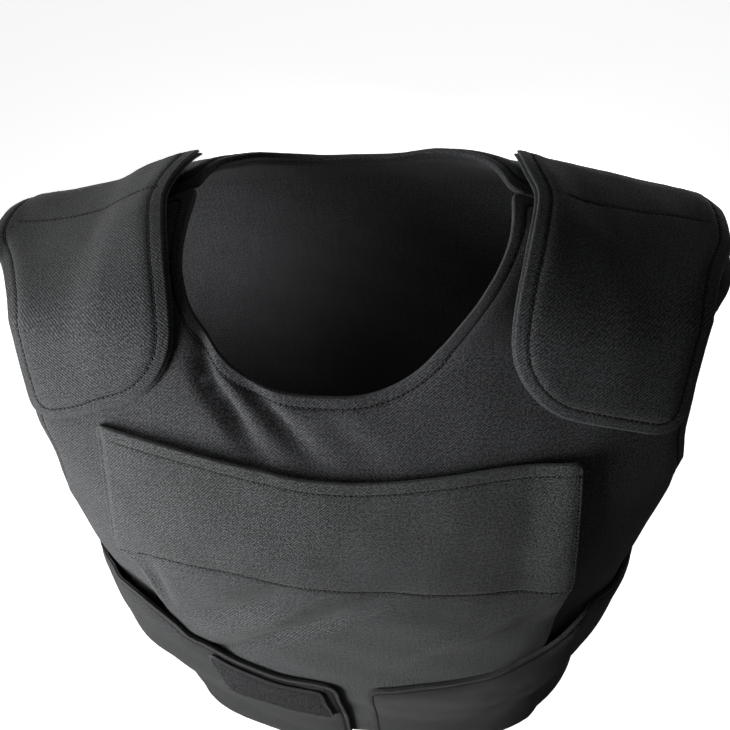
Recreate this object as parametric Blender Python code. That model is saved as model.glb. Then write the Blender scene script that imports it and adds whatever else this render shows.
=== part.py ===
"""Bulletproof vest, soft armour carrier with a front plate pocket, shoulder flaps and side wings.

Frame: metres, +Z up, +X the wearer's left (the right of the picture), -Y the front.
The origin lies midway between the undersides of the two shoulder straps, where they rest.
Every piece is a closed sheet of cloth or padding: an outline drawn flat, filled with a
triangle net, laid on the body shape and given its thickness along the surface normal.
"""
import bmesh
import bpy
import numpy as np
from mathutils import Vector
from mathutils.geometry import delaunay_2d_cdt

for old in list(bpy.data.objects):
    bpy.data.objects.remove(old, do_unlink=True)

# Body shape: rings stacked in height, each a rounded rectangle of the given squareness.
SQUARENESS = 2.55
SECTIONS = (
    # z, half_width, front_y, back_y
    (0.067, 0.036, -0.032, 0.045),
    (0.047, 0.058, -0.045, 0.060),
    (0.017, 0.125, -0.072, 0.080),
    (-0.008, 0.226, -0.087, 0.090),
    (-0.053, 0.240, -0.110, 0.100),
    (-0.113, 0.212, -0.137, 0.108),
    (-0.173, 0.193, -0.151, 0.110),
    (-0.253, 0.179, -0.149, 0.100),
    (-0.333, 0.162, -0.134, 0.088),
    (-0.413, 0.158, -0.128, 0.085),
)
LOWEST_Z, WIDEST_Z, HIGHEST_Z = -0.460, -0.160, 0.066
# The usual depth of a ring as a share of its width, and where the cloth height is measured.
RING_DEPTH_SHARE = 0.62
RISE_WIDTH_SHARE, RISE_DEPTH_SHARE = 0.80, 0.70

# The wearer's right strap sags in the middle of its width, fading out below the strap.
STRAP_SAG = (
    # x, dz
    (-0.240, 0.005),
    (-0.218, 0.002),
    (-0.205, -0.004),
    (-0.180, -0.0065),
    (-0.152, -0.0055),
    (-0.128, -0.0005),
    (-0.105, 0.0005),
    (-0.080, 0.0),
    (0.240, 0.0),
)
SAG_FADE_FROM, SAG_FADE_TO = -0.100, -0.030

# Carriers: padded front and back panels.
PANEL_THICK = 0.009
PANEL_EDGE_THICK = 0.0035
PANEL_PILLOW = 0.013
CORNER_SOFT = 0.005
HEM_Z = -0.385
SIDE_Q = 0.975
# The wearer's left half of the neckline is rounder, the right half squarer and narrower.
NECK_HALF_WIDTHS = (0.096, 0.093)
NECK_FRONT_Y = -0.099
NECK_BACK_Y = 0.084
NECK_SQUARENESSES = (2.3, 3.1)
FRONT_TONGUE_Y = 0.018
BACK_TONGUE_Y = 0.0225
TONGUE_CORNER = 0.004
FRONT_ARMHOLE_TOP = (
    # y, left_x, right_x seen from above, from the shoulder ridge forwards (left is +X)
    (0.018, 0.2200, 0.2190),
    (-0.010, 0.2190, 0.2120),
    (-0.040, 0.2080, 0.1980),
    (-0.066, 0.1980, 0.1850),
)
FRONT_ARMHOLE_LOW = (
    # z, left_x, right_x seen from the front, from the chest down to the side edge
    (-0.060, 0.1950, 0.1865),
    (-0.080, 0.1965, 0.1810),
    (-0.105, 0.2010, 0.1815),
    (-0.125, 0.2010, 0.1880),
)
BACK_ARMHOLE_TOP = (
    # y, left_x, right_x, from the ridge backwards
    (0.0225, 0.2200, 0.2190),
    (0.038, 0.2180, 0.2180),
    (0.055, 0.2130, 0.2130),
)
BACK_ARMHOLE_LOW = (
    # z, left_x, right_x
    (-0.060, 0.2050, 0.2110),
    (-0.085, 0.2010, 0.2070),
    (-0.105, 0.1990, 0.2040),
    (-0.125, 0.1970, 0.2000),
)
ARMHOLE_BOTTOM_Z = -0.145

# Front plate pocket: a doubled cloth sheet sewn on three sides, open along the top.
POCKET_THICK = 0.0026
POCKET_GAP = 0.0015
POCKET_TOP = (
    # x, z of the open top edge
    (-0.1395, -0.0540),
    (-0.098, -0.0592),
    (-0.050, -0.0672),
    (-0.008, -0.0729),
    (0.010, -0.0733),
    (0.050, -0.0697),
    (0.095, -0.0642),
    (0.132, -0.0626),
)
POCKET_SIDE = (
    # z, x_at_minus_x_side, x_at_plus_x_side of the two sewn sides
    (-0.090, -0.1405, 0.1325),
    (-0.119, -0.1430, 0.1325),
    (-0.143, -0.1445, 0.1325),
    (-0.158, -0.1275, 0.1300),
    (-0.193, -0.1225, 0.1270),
    (-0.250, -0.1200, 0.1220),
    (-0.340, -0.1170, 0.1180),
)
POCKET_BOTTOM_Z = -0.365
POCKET_MOUTH_LIFT = 0.0020
POCKET_MOUTH_REACH = 0.024
POCKET_MOUTH_FULL = 1.15
POCKET_SIDE_LIFT = 0.0055
POCKET_SIDE_LIFT_X = (0.104, 0.130)
POCKET_SIDE_LIFT_Z = (-0.185, -0.135)
POCKET_CORNER_SOFT = 0.0025

# Shoulder flaps: padded, sewn to the back panel, laid over the ridge on to the chest.
FLAP_THICK = 0.0075
FLAP_EDGE_THICK = 0.0040
FLAP_THIN_UNDER = 0.25
FLAP_GAP = 0.0014
FLAP_ARCH = 0.0048
FLAP_ARCH_S = -0.010
FLAP_ARCH_REACH = 0.055
FLAP_ARCH_X = (0.105, 0.175)
FLAP_PILLOW = 0.012
FLAP_CORNER_SOFT = 0.004
FLAP_FRONT = 0.126
FLAP_BACK = 0.052
FLAP_SIDES_LEFT = (
    # s along the strap from the ridge (back is plus), inner_x, outer_x
    (0.052, 0.095, 0.212),
    (0.020, 0.100, 0.217),
    (0.000, 0.105, 0.216),
    (-0.030, 0.102, 0.205),
    (-0.060, 0.098, 0.197),
    (-0.090, 0.095, 0.191),
    (-0.126, 0.0945, 0.186),
)
FLAP_SIDES_RIGHT = (
    # s, inner_x, outer_x; this one lies a little nearer the neck
    (0.052, 0.096, 0.214),
    (0.020, 0.100, 0.219),
    (0.000, 0.103, 0.218),
    (-0.030, 0.098, 0.203),
    (-0.060, 0.092, 0.190),
    (-0.090, 0.0885, 0.184),
    (-0.126, 0.088, 0.179),
)
FLAP_INNER_CORNER = 0.034
FLAP_OUTER_CORNER = 0.018

# Waist wings: padded bands from the back panel round the sides to the belly.
WING_THICK = 0.0040
WING_EDGE_THICK = 0.0024
WING_GAP = 0.0012
WING_FRONT_GAP = 0.0054
WING_PILLOW = 0.012
WING_CORNER_SOFT = 0.006
WING_STEP_Q = 0.575
WING_STEP_WIDTH = 0.075
WING_END_X = 0.010
WING_BACK_Q = 1.50
WING_BOTTOM_Z = -0.380
WING_MIDDLE_Z = -0.300
WING_TOP_LEFT = (
    # q round the body from the front centre, z of the top edge on the wearer's left
    (0.03, -0.2545),
    (0.28, -0.2443),
    (0.365, -0.2390),
    (0.445, -0.2293),
    (0.510, -0.2215),
    (0.54, -0.2138),
    (0.60, -0.1940),
    (0.68, -0.1990),
    (0.85, -0.2060),
    (1.10, -0.2080),
    (1.50, -0.1980),
)
WING_TOP_RIGHT = (
    # q, z on the wearer's right
    (0.03, -0.2545),
    (0.15, -0.2490),
    (0.31, -0.2310),
    (0.371, -0.2211),
    (0.42, -0.2127),
    (0.48, -0.1957),
    (0.525, -0.1815),
    (0.58, -0.1780),
    (0.68, -0.1880),
    (0.85, -0.2010),
    (1.10, -0.2070),
    (1.50, -0.1980),
)

WING_BULGE = (
    # q, z, half_q, half_z, height
    (-0.64, -0.238, 0.14, 0.032, 0.0055),
)

# Loop patch on the wearer's right wing.
PATCH_THICK = 0.0018
PATCH_GAP = 0.0008
PATCH_X = (-0.090, -0.020)
PATCH_DROP = 0.0055
PATCH_HEIGHT = 0.055
PATCH_MIDDLE_Z = -0.240

# Folds pressed into the cloth, seen from the front.
FOLDS = (
    # x, z, angle in degrees from the X axis, half_length, half_width, depth
    (-0.0730, -0.0110, -85.0, 0.018, 0.0050, -0.0042),
    (-0.0612, -0.0375, -56.0, 0.026, 0.0056, -0.0062),
    (-0.0335, -0.0433, -44.0, 0.025, 0.0052, -0.0050),
    (0.0060, -0.0490, -42.0, 0.018, 0.0070, -0.0018),
    (-0.115, -0.161, -80.0, 0.018, 0.0050, -0.0026),
    (-0.070, -0.168, 32.0, 0.034, 0.0055, -0.0018),
    (-0.056, -0.181, 33.0, 0.046, 0.0075, 0.0026),
    (-0.035, -0.190, 35.0, 0.052, 0.0065, -0.0040),
    (0.083, -0.179, 33.0, 0.044, 0.0100, 0.0032),
)

# Net spacing of each kind of piece, the inset of its second loop and the step along folds.
PANEL_RIM = 0.010
SHEET_RIM = 0.008
FOLD_STEP = 0.013
FOLD_BESIDE = 1.3
RIM_ROUND = 0.0008
SOFT_STEP = 0.002
PANEL_NET = 0.0197
FLAP_NET = 0.0135
POCKET_NET = 0.0180
WING_NET = 0.0185
PATCH_NET = 0.0150
# Least room between net points: inset to edge in rims, the others in spacings.
INSET_ROOM = 0.86
FILL_ROOM = 0.55
EXTRA_ROOM = 0.30
EXTRA_TO_FILL = 0.60
HEX_ROW = 0.866

# Colours of the plain pieces, linear, and how matt they are.
PANEL_COLOUR = (0.035, 0.036, 0.039)
POCKET_COLOUR = (0.038, 0.040, 0.041)
WING_COLOUR = (0.033, 0.035, 0.036)
FLAP_COLOUR = (0.033, 0.035, 0.037)
PATCH_COLOUR = (0.018, 0.018, 0.020)
CLOTH_ROUGHNESS = 0.85
PILE_ROUGHNESS = 0.95

LEFT, RIGHT = 1.0, -1.0
FRONT, BACK = 1.0, -1.0


def column(table, k):
    """One named column of a table as an array."""
    return np.array([row[k] for row in table], dtype=float)


def smooth(x, xs, ys):
    """Cubic through table rows (xs rising), flat where the rows turn, straight outside."""
    x = np.asarray(x, dtype=float)
    h = np.diff(xs)
    d = np.diff(ys) / h
    m = np.empty(len(xs))
    turn = d[:-1] * d[1:] > 0
    m[1:-1] = np.where(turn, 2 * d[:-1] * d[1:] / np.where(turn, d[:-1] + d[1:], 1.0), 0.0)
    m[0], m[-1] = d[0], d[-1]
    i = np.clip(np.searchsorted(xs, x) - 1, 0, len(h) - 1)
    t = (x - xs[i]) / h[i]
    c = np.clip(t, 0, 1)
    inside = (ys[i] * (1 + 2 * c) * (1 - c) ** 2 + h[i] * m[i] * c * (1 - c) ** 2
              + ys[i + 1] * c ** 2 * (3 - 2 * c) + h[i] * m[i + 1] * c ** 2 * (c - 1))
    return inside + h[i] * (np.minimum(t, 0) * m[i] + np.maximum(t - 1, 0) * m[i + 1])


SECTION_Z = column(SECTIONS, 0)


def section(z):
    """Half width, half depth and middle y of the body ring at height z."""
    down = -np.asarray(z, dtype=float)
    half_width = smooth(down, -SECTION_Z, column(SECTIONS, 1))
    front = smooth(down, -SECTION_Z, column(SECTIONS, 2))
    back = smooth(down, -SECTION_Z, column(SECTIONS, 3))
    return half_width, (back - front) / 2, (back + front) / 2


def level(x, y, z):
    """Zero on the body, positive outside: (x/a)^n + ((y-c)/b)^n - 1."""
    a, b, c = section(z)
    return np.abs(x / a) ** SQUARENESS + np.abs((y - c) / b) ** SQUARENESS - 1


def normals(p):
    """Outward unit normals: the gradient of the level by small steps."""
    e = 1e-4
    g = np.stack([level(p[:, 0] + e, p[:, 1], p[:, 2]) - level(p[:, 0] - e, p[:, 1], p[:, 2]),
                  level(p[:, 0], p[:, 1] + e, p[:, 2]) - level(p[:, 0], p[:, 1] - e, p[:, 2]),
                  level(p[:, 0], p[:, 1], p[:, 2] + e) - level(p[:, 0], p[:, 1], p[:, 2] - e)], 1)
    return g / np.maximum(np.linalg.norm(g, axis=1), 1e-12)[:, None]


def sagged(p):
    """Body points lowered by the strap sag, all of it near the top."""
    dz = smooth(p[:, 0], column(STRAP_SAG, 0), column(STRAP_SAG, 1))
    part = np.clip((p[:, 2] - SAG_FADE_FROM) / (SAG_FADE_TO - SAG_FADE_FROM), 0, 1)
    return p + np.stack([0 * dz, 0 * dz, dz * part * part * (3 - 2 * part)], 1)


# One ring as a share q of its quarter length: q 0 at the front or back middle, 1 at the side.
TURN = np.linspace(0, np.pi / 2, 4001)
RING_S = np.sin(TURN) ** (2 / SQUARENESS)
RING_C = np.cos(TURN) ** (2 / SQUARENESS)
RING_L = np.concatenate([[0.0], np.cumsum(np.hypot(np.diff(RING_S), RING_DEPTH_SHARE * np.diff(RING_C)))])
RING_Q = RING_L / RING_L[-1]
QUARTER = RING_L[-1] / np.hypot(1, RING_DEPTH_SHARE)


def on_ring(q, z, facing):
    """Point on the body at share q of the quarter ring and height z, from the front or back."""
    a, b, c = section(z)
    k = np.abs(q)
    over = k > 1
    k = np.where(over, 2 - k, k)
    s = np.interp(k, RING_Q, RING_S)
    r = np.interp(k, RING_Q, RING_C) * np.where(over, -1.0, 1.0)
    return np.stack([np.sign(q) * a * s, c - facing * b * r, z + 0 * q], 1)


def quarter(z):
    """Length of a quarter ring."""
    a, b, _ = section(z)
    return QUARTER * np.hypot(a, b)


# Height measured along the cloth on a line over the chest and strap.
RISE_Z = np.linspace(LOWEST_Z, HIGHEST_Z, 800)


def rise(facing):
    a, b, c = section(RISE_Z)
    x, y = RISE_WIDTH_SHARE * a, c - facing * RISE_DEPTH_SHARE * b
    step = np.sqrt(np.diff(x) ** 2 + np.diff(y) ** 2 + np.diff(RISE_Z) ** 2)
    return np.concatenate([[0.0], np.cumsum(step)])


RISE = {FRONT: rise(FRONT), BACK: rise(BACK)}


def flat_from_qz(q, z, facing):
    """Flat pattern place (u across, v up) of a ring share and height."""
    return np.stack([q * quarter(z), np.interp(z, RISE_Z, RISE[facing])], 1)


def qz_from_flat(flat, facing):
    """Ring share and height of a flat pattern place."""
    z = np.interp(flat[:, 1], RISE[facing], RISE_Z)
    return flat[:, 0] / quarter(z), z


def q_from_x(x, z):
    """Ring share where the ring at height z has the given x."""
    a, _, _ = section(z)
    return np.sign(x) * np.interp(np.minimum(np.abs(x) / a, 1.0), RING_S, RING_Q)


def height_above(x, y):
    """Height of the body seen from above, by halving the interval."""
    lo, hi = np.full(len(x), WIDEST_Z), np.full(len(x), HIGHEST_Z)
    for _ in range(40):
        mid = (lo + hi) / 2
        out = level(x, y, mid) > 0
        hi, lo = np.where(out, mid, hi), np.where(out, lo, mid)
    return (lo + hi) / 2


def flat_from_xy(x, y, facing):
    """Flat place of a point seen from above; past the ridge the ring share goes beyond 1."""
    x, y = np.asarray(x, dtype=float), np.asarray(y, dtype=float)
    z = height_above(x, y)
    q = q_from_x(x, z)
    _, _, c = section(z)
    beyond = facing * (y - c) > 0
    q = np.where(beyond, np.sign(q) * (2 - np.abs(q)), q)
    return flat_from_qz(q, z, facing)


def resample(points, step, closed=False):
    """The same polyline with even steps."""
    pts = np.vstack([points, points[:1]]) if closed else points
    length = np.concatenate([[0.0], np.cumsum(np.linalg.norm(np.diff(pts, axis=0), axis=1))])
    n = max(2, int(round(length[-1] / step)))
    at = np.linspace(0, length[-1], n + 1)
    out = np.stack([np.interp(at, length, pts[:, k]) for k in range(2)], 1)
    return out[:-1] if closed else out


def soften(points, radius):
    """Round the corners of a closed outline by averaging along it."""
    dense = resample(points, SOFT_STEP, closed=True)
    n = len(dense)
    k = np.arange(n)
    w = np.exp(-0.5 * (np.minimum(k, n - k) * SOFT_STEP / radius) ** 2)
    w /= w.sum()
    return np.stack([np.real(np.fft.ifft(np.fft.fft(dense[:, j]) * np.fft.fft(w)))
                     for j in range(2)], 1)


def edge_distance(points, outline):
    """Distance of each flat point to the closed outline."""
    a, b = outline, np.roll(outline, -1, axis=0)
    ab = b - a
    p = points[:, None, :]
    t = np.clip(((p - a) * ab).sum(2) / (ab ** 2).sum(1), 0, 1)
    return np.linalg.norm(p - a - t[:, :, None] * ab, axis=2).min(1)


def inside(points, outline):
    """Even-odd test of flat points against the closed outline."""
    x, y = points[:, 0][:, None], points[:, 1][:, None]
    a, b = outline, np.roll(outline, -1, axis=0)
    cross = (a[:, 1] > y) != (b[:, 1] > y)
    slope = (b[:, 0] - a[:, 0]) / np.where(b[:, 1] == a[:, 1], 1e-12, b[:, 1] - a[:, 1])
    return (cross & (x < a[:, 0] + slope * (y - a[:, 1]))).sum(1) % 2 == 1


def apart(points, least):
    """The points in order, leaving out any closer than the least distance to one kept before."""
    kept = []
    for p in points:
        if all(np.hypot(*(p - other)) > least for other in kept):
            kept.append(p)
    return np.array(kept)


def net(outline, spacing, rim, extra=None):
    """Triangle net of a flat outline: edge loop, one inset loop, extra points and hexagon fill."""
    edge = resample(outline, spacing, closed=True)
    ahead, behind = np.roll(edge, -1, axis=0), np.roll(edge, 1, axis=0)
    t = ahead - behind
    side = np.stack([-t[:, 1], t[:, 0]], 1) / np.linalg.norm(t, axis=1)[:, None]
    area = 0.5 * np.sum(edge[:, 0] * ahead[:, 1] - ahead[:, 0] * edge[:, 1])
    inset = edge + np.sign(area) * side * rim
    d = edge_distance(inset, outline)
    inset = inset[(d > INSET_ROOM * rim) & inside(inset, outline)]
    lo, hi = outline.min(0), outline.max(0)
    rows = np.arange(lo[1], hi[1], spacing * HEX_ROW)
    cols = np.arange(lo[0], hi[0], spacing)
    gx, gy = np.meshgrid(cols, rows)
    gx = gx + 0.5 * spacing * (np.arange(len(rows)) % 2)[:, None]
    fill = np.stack([gx.ravel(), gy.ravel()], 1)
    fill = fill[inside(fill, outline)]
    d = edge_distance(fill, outline)
    fill = fill[d > rim + FILL_ROOM * spacing]
    if extra is not None:
        d = edge_distance(extra, outline)
        extra = extra[inside(extra, outline) & (d > rim + EXTRA_ROOM * spacing)]
        extra = apart(extra, EXTRA_ROOM * spacing)
        gap = np.linalg.norm(fill[:, None] - extra[None], axis=2).min(1)
        fill = np.vstack([extra, fill[gap > EXTRA_TO_FILL * spacing]])
    pts = np.vstack([edge, inset, fill])
    n = len(edge)
    result = delaunay_2d_cdt([Vector(p) for p in pts.tolist()],
                             [(i, (i + 1) % n) for i in range(n)], [], 1, 1e-7)
    verts = np.array([tuple(v) for v in result[0]])
    tris = np.array([f for f in result[2] if len(f) == 3])
    where = {}
    for new, olds in enumerate(result[3]):
        for one in olds:
            where[one] = new
    loop = np.array([where[i] for i in range(n)])
    return verts, tris, loop


def solid(name, tris, loop, outer, inner, colour, roughness=CLOTH_ROUGHNESS):
    """Closed sheet: outer face, inner face and a rim between their edge loops."""
    n = len(outer)
    mid = (outer[loop] + inner[loop]) / 2
    away = mid - np.roll(mid, 1, axis=0)
    thick = outer[loop] - inner[loop]
    out = np.cross(thick, away)
    out /= np.maximum(np.linalg.norm(out, axis=1), 1e-12)[:, None]
    centre = outer.mean(0)
    if np.sum((mid - centre) * out) < 0:
        out = -out
    mid = mid + out * RIM_ROUND
    m = len(loop)
    verts = np.vstack([outer, inner, mid])
    faces = [tuple(t) for t in tris.tolist()]
    faces += [tuple(n + i for i in t[::-1]) for t in tris.tolist()]
    for i, j in zip(range(m), [*range(1, m), 0]):
        a, b = int(loop[i]), int(loop[j])
        faces.append((b, a, 2 * n + i, 2 * n + j))
        faces.append((2 * n + j, 2 * n + i, n + a, n + b))
    mesh = bpy.data.meshes.new(name)
    mesh.from_pydata(verts.tolist(), [], faces)
    close_outwards(mesh)
    obj = bpy.data.objects.new(name, mesh)
    bpy.context.scene.collection.objects.link(obj)
    mat = bpy.data.materials.new(name + "_cloth")
    mat.use_nodes = True
    shader = mat.node_tree.nodes["Principled BSDF"]
    shader.inputs["Base Color"].default_value = (*colour, 1.0)
    shader.inputs["Roughness"].default_value = roughness
    shader.inputs["Metallic"].default_value = 0.0
    mesh.materials.append(mat)
    print(name, "triangles", len(mesh.polygons))
    return obj


def close_outwards(mesh):
    """Split the rim quads and turn all faces outwards."""
    bm = bmesh.new()
    bm.from_mesh(mesh)
    bmesh.ops.triangulate(bm, faces=bm.faces[:])
    bmesh.ops.recalc_face_normals(bm, faces=bm.faces[:])
    if bm.calc_volume(signed=True) < 0:
        bmesh.ops.reverse_faces(bm, faces=bm.faces[:])
    bm.to_mesh(mesh)
    bm.free()


def ease(t):
    """Smooth step from 0 to 1."""
    t = np.clip(t, 0, 1)
    return t * t * (3 - 2 * t)


def between(x, limits):
    """Smooth step from 0 at the first limit to 1 at the second."""
    return ease((x - limits[0]) / (limits[1] - limits[0]))


def fold_points():
    """Flat places of extra net points along and beside each fold row."""
    places = []
    for x, z, angle, half_length, half_width, _ in FOLDS:
        a = np.radians(angle)
        n = max(2, int(round(2 * half_length / FOLD_STEP)))
        along, across = np.meshgrid(np.linspace(-half_length, half_length, n + 1),
                                    np.array([-1.0, 0.0, 1.0]) * FOLD_BESIDE * half_width)
        px = x + (along * np.cos(a) - across * np.sin(a)).ravel()
        pz = z + (along * np.sin(a) + across * np.cos(a)).ravel()
        places.append(flat_from_qz(q_from_x(px, pz), pz, FRONT))
    return np.vstack(places)


def folds(p):
    """Sum of the fold rows at body points: a long soft ridge or groove for each row."""
    total = np.zeros(len(p))
    front = p[:, 1] < 0
    for x, z, angle, half_length, half_width, depth in FOLDS:
        a = np.radians(angle)
        dx, dz = p[:, 0] - x, p[:, 2] - z
        along = dx * np.cos(a) + dz * np.sin(a)
        across = -dx * np.sin(a) + dz * np.cos(a)
        total += depth * np.exp(-(along / half_length) ** 2 - (across / half_width) ** 2)
    return np.where(front, total, 0.0)


def lay(flat, facing, height):
    """Body points of a flat net raised along the normal by height."""
    q, z = qz_from_flat(flat, facing)
    p = on_ring(q, z, facing)
    return sagged(p) + normals(p) * np.asarray(height)[:, None]


def mirror(points):
    """The same run of points on the other side, in reverse order."""
    return (points * np.array([-1.0, 1.0]))[::-1]


def panel_half(facing, k):
    """Hem end, side edge, armhole, strap end and neckline; k picks the left or right column."""
    tongue = FRONT_TONGUE_Y if facing == FRONT else BACK_TONGUE_Y
    low = FRONT_ARMHOLE_LOW if facing == FRONT else BACK_ARMHOLE_LOW
    high = FRONT_ARMHOLE_TOP if facing == FRONT else BACK_ARMHOLE_TOP
    side = flat_from_qz(np.full(12, SIDE_Q), np.linspace(HEM_Z, ARMHOLE_BOTTOM_Z, 12), facing)
    z, x = column(low, 0)[::-1], column(low, k)[::-1]
    arm = flat_from_qz(q_from_x(x, z), z, facing)
    upper = flat_from_xy(column(high, k)[::-1], column(high, 0)[::-1], facing)
    arm_xs = np.vstack([side[-1:], arm, upper])
    t = np.concatenate([[0], np.cumsum(np.linalg.norm(np.diff(arm_xs, axis=0), axis=1))])
    at = np.linspace(0, t[-1], 60)
    arm_run = np.stack([smooth(at, t, arm_xs[:, k]) for k in range(2)], 1)
    half_width, squareness = NECK_HALF_WIDTHS[k - 1], NECK_SQUARENESSES[k - 1]
    end = flat_from_xy(np.linspace(high[0][k], half_width, 12), np.full(12, tongue), facing)
    turn = np.linspace(0.0, np.pi / 2, 60)
    depth = -NECK_FRONT_Y if facing == FRONT else NECK_BACK_Y
    nx = half_width * np.cos(turn) ** (2 / squareness)
    ny = -facing * depth * np.sin(turn) ** (2 / squareness)
    keep = facing * (ny - tongue) < -TONGUE_CORNER
    neck = flat_from_xy(nx[keep], ny[keep], facing)
    neck[-1, 0] = 0.0
    return np.vstack([side, arm_run[1:], end[1:], neck])


def panel_outline(facing):
    """Closed flat outline of the front or back carrier."""
    halves = [panel_half(facing, 1), mirror(panel_half(facing, 2))[1:]]
    return soften(np.vstack(halves), CORNER_SOFT)


def build_panel(name, facing):
    outline = panel_outline(facing)
    extra = fold_points() if facing == FRONT else None
    flat, tris, loop = net(outline, PANEL_NET, PANEL_RIM, extra)
    d = edge_distance(flat, outline)
    thin = 0.5 * (PANEL_THICK - PANEL_EDGE_THICK) * (1 - ease(d / PANEL_PILLOW))
    q, z = qz_from_flat(flat, facing)
    fold = folds(on_ring(q, z, facing))
    outer = lay(flat, facing, fold - thin)
    inner = lay(flat, facing, fold - PANEL_THICK + thin)
    return solid(name, tris, loop, outer, inner, PANEL_COLOUR)


def pocket_outline():
    """Open top edge, two sewn sides and the bottom edge hidden under the wings."""
    x, z = column(POCKET_TOP, 0), column(POCKET_TOP, 1)
    xs = np.linspace(x[0], x[-1], 60)
    zs = smooth(xs, x, z)
    top = flat_from_qz(q_from_x(xs, zs), zs, FRONT)

    def side(k, end):
        depth = np.concatenate([[-zs[end]], -column(POCKET_SIDE, 0)])
        across = np.concatenate([[xs[end]], column(POCKET_SIDE, k)])
        down = np.linspace(depth[0], -POCKET_BOTTOM_Z, 50)
        return flat_from_qz(q_from_x(smooth(down, depth, across), -down), -down, FRONT)
    left, right = side(1, 0), side(2, -1)
    return soften(np.vstack([top, right[1:], left[::-1][:-1]]), POCKET_CORNER_SOFT)


def pocket_under(flat, outline):
    """Height of the pocket's underside: lifted at the open mouth and on the wearer's left side."""
    q, z = qz_from_flat(flat, FRONT)
    base = on_ring(q, z, FRONT)
    x = base[:, 0]
    top_x = column(POCKET_TOP, 0)
    top_z = smooth(np.clip(x, top_x[0], top_x[-1]), top_x, column(POCKET_TOP, 1))
    sewn = np.clip(POCKET_MOUTH_FULL - np.abs(x / top_x[0]) ** 4, 0, 1)
    mouth = POCKET_MOUTH_LIFT * sewn * np.exp(-np.maximum(top_z - z, 0.0) / POCKET_MOUTH_REACH)
    side = POCKET_SIDE_LIFT * between(x, POCKET_SIDE_LIFT_X) * between(z, POCKET_SIDE_LIFT_Z)
    return POCKET_GAP + folds(base) + mouth + side


def build_pocket():
    outline = pocket_outline()
    flat, tris, loop = net(outline, POCKET_NET, SHEET_RIM, fold_points())
    under = pocket_under(flat, outline)
    outer = lay(flat, FRONT, under + POCKET_THICK)
    inner = lay(flat, FRONT, under)
    return solid("front_pocket", tris, loop, outer, inner, POCKET_COLOUR)


def wing_outline(side):
    """Front end, top edge, back end and bottom edge of one wing in flat front coordinates."""
    table = WING_TOP_LEFT if side == LEFT else WING_TOP_RIGHT
    q0 = q_from_x(np.array([WING_END_X]), np.array([WING_MIDDLE_Z]))[0]
    q = np.linspace(q0, WING_BACK_Q, 90)
    top = flat_from_qz(q, smooth(q, column(table, 0), column(table, 1)), FRONT)
    low = flat_from_qz(q, np.full(90, WING_BOTTOM_Z), FRONT)
    whole = np.vstack([top, low[::-1]])
    return soften(whole * np.array([side, 1.0]), WING_CORNER_SOFT)


def wing_under(flat):
    """Height of a wing's underside: over the pocket in front, close to the back panel behind."""
    q, z = qz_from_flat(flat, FRONT)
    back = ease((np.abs(q) - WING_STEP_Q) / WING_STEP_WIDTH)
    base = on_ring(q, z, FRONT)
    bulge = sum(h * np.exp(-((q - q0) / dq) ** 2 - ((z - z0) / dz) ** 2)
                for q0, z0, dq, dz, h in WING_BULGE)
    return WING_FRONT_GAP * (1 - back) + WING_GAP * back + bulge + np.maximum(folds(base), 0.0)


def wing_outer(flat, outline):
    full = ease(edge_distance(flat, outline) / WING_PILLOW)
    return wing_under(flat) + WING_EDGE_THICK + (WING_THICK - WING_EDGE_THICK) * full


def build_wing(name, side):
    outline = wing_outline(side)
    flat, tris, loop = net(outline, WING_NET, SHEET_RIM)
    outer = lay(flat, FRONT, wing_outer(flat, outline))
    inner = lay(flat, FRONT, wing_under(flat))
    return solid(name, tris, loop, outer, inner, WING_COLOUR)


def build_patch():
    outline = wing_outline(RIGHT)
    xs = np.linspace(PATCH_X[0], PATCH_X[1], 30)
    q = -q_from_x(xs, np.full(30, PATCH_MIDDLE_Z))
    z = smooth(q, column(WING_TOP_RIGHT, 0), column(WING_TOP_RIGHT, 1)) - PATCH_DROP
    top = flat_from_qz(-q, z, FRONT)
    low = flat_from_qz(-q, z - PATCH_HEIGHT, FRONT)
    shape = soften(np.vstack([top, low[::-1]]), POCKET_CORNER_SOFT)
    flat, tris, loop = net(shape, PATCH_NET, SHEET_RIM)
    under = wing_outer(flat, outline) + PATCH_GAP
    outer = lay(flat, FRONT, under + PATCH_THICK)
    inner = lay(flat, FRONT, under)
    return solid("loop_patch", tris, loop, outer, inner, PATCH_COLOUR, PILE_ROUGHNESS)


# Flap chart: x across the strap, s along the body section at that x, 0 on the ridge.
CHART_X = np.linspace(0.070, 0.2200, 90)
CHART_S = np.linspace(-0.150, 0.090, 241)
CHART_DROP, CHART_STEPS = 0.160, 600


def flap_chart():
    """Body y and z on a grid of x and s, s being arc length over the shoulder ridge."""
    drop = np.linspace(-1, 1, 2 * CHART_STEPS + 1)
    fine = np.linspace(SECTIONS[4][0], HIGHEST_Z, 800)
    ridge = np.interp(CHART_X, section(fine)[0][::-1], fine[::-1])
    ys, zs = [], []
    for x, top in zip(CHART_X, ridge):
        z = top - CHART_DROP * np.abs(drop) ** SQUARENESS
        a, b, c = section(z)
        out = 1 - np.minimum(x / a, 1) ** SQUARENESS
        y = c + np.sign(drop) * b * out ** (1 / SQUARENESS)
        s = np.concatenate([[0.0], np.cumsum(np.hypot(np.diff(y), np.diff(z)))])
        s -= s[CHART_STEPS]
        ys.append(np.interp(CHART_S, s, y))
        zs.append(np.interp(CHART_S, s, z))
    return np.array(ys), np.array(zs)


CHART_Y, CHART_Z = flap_chart()


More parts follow.
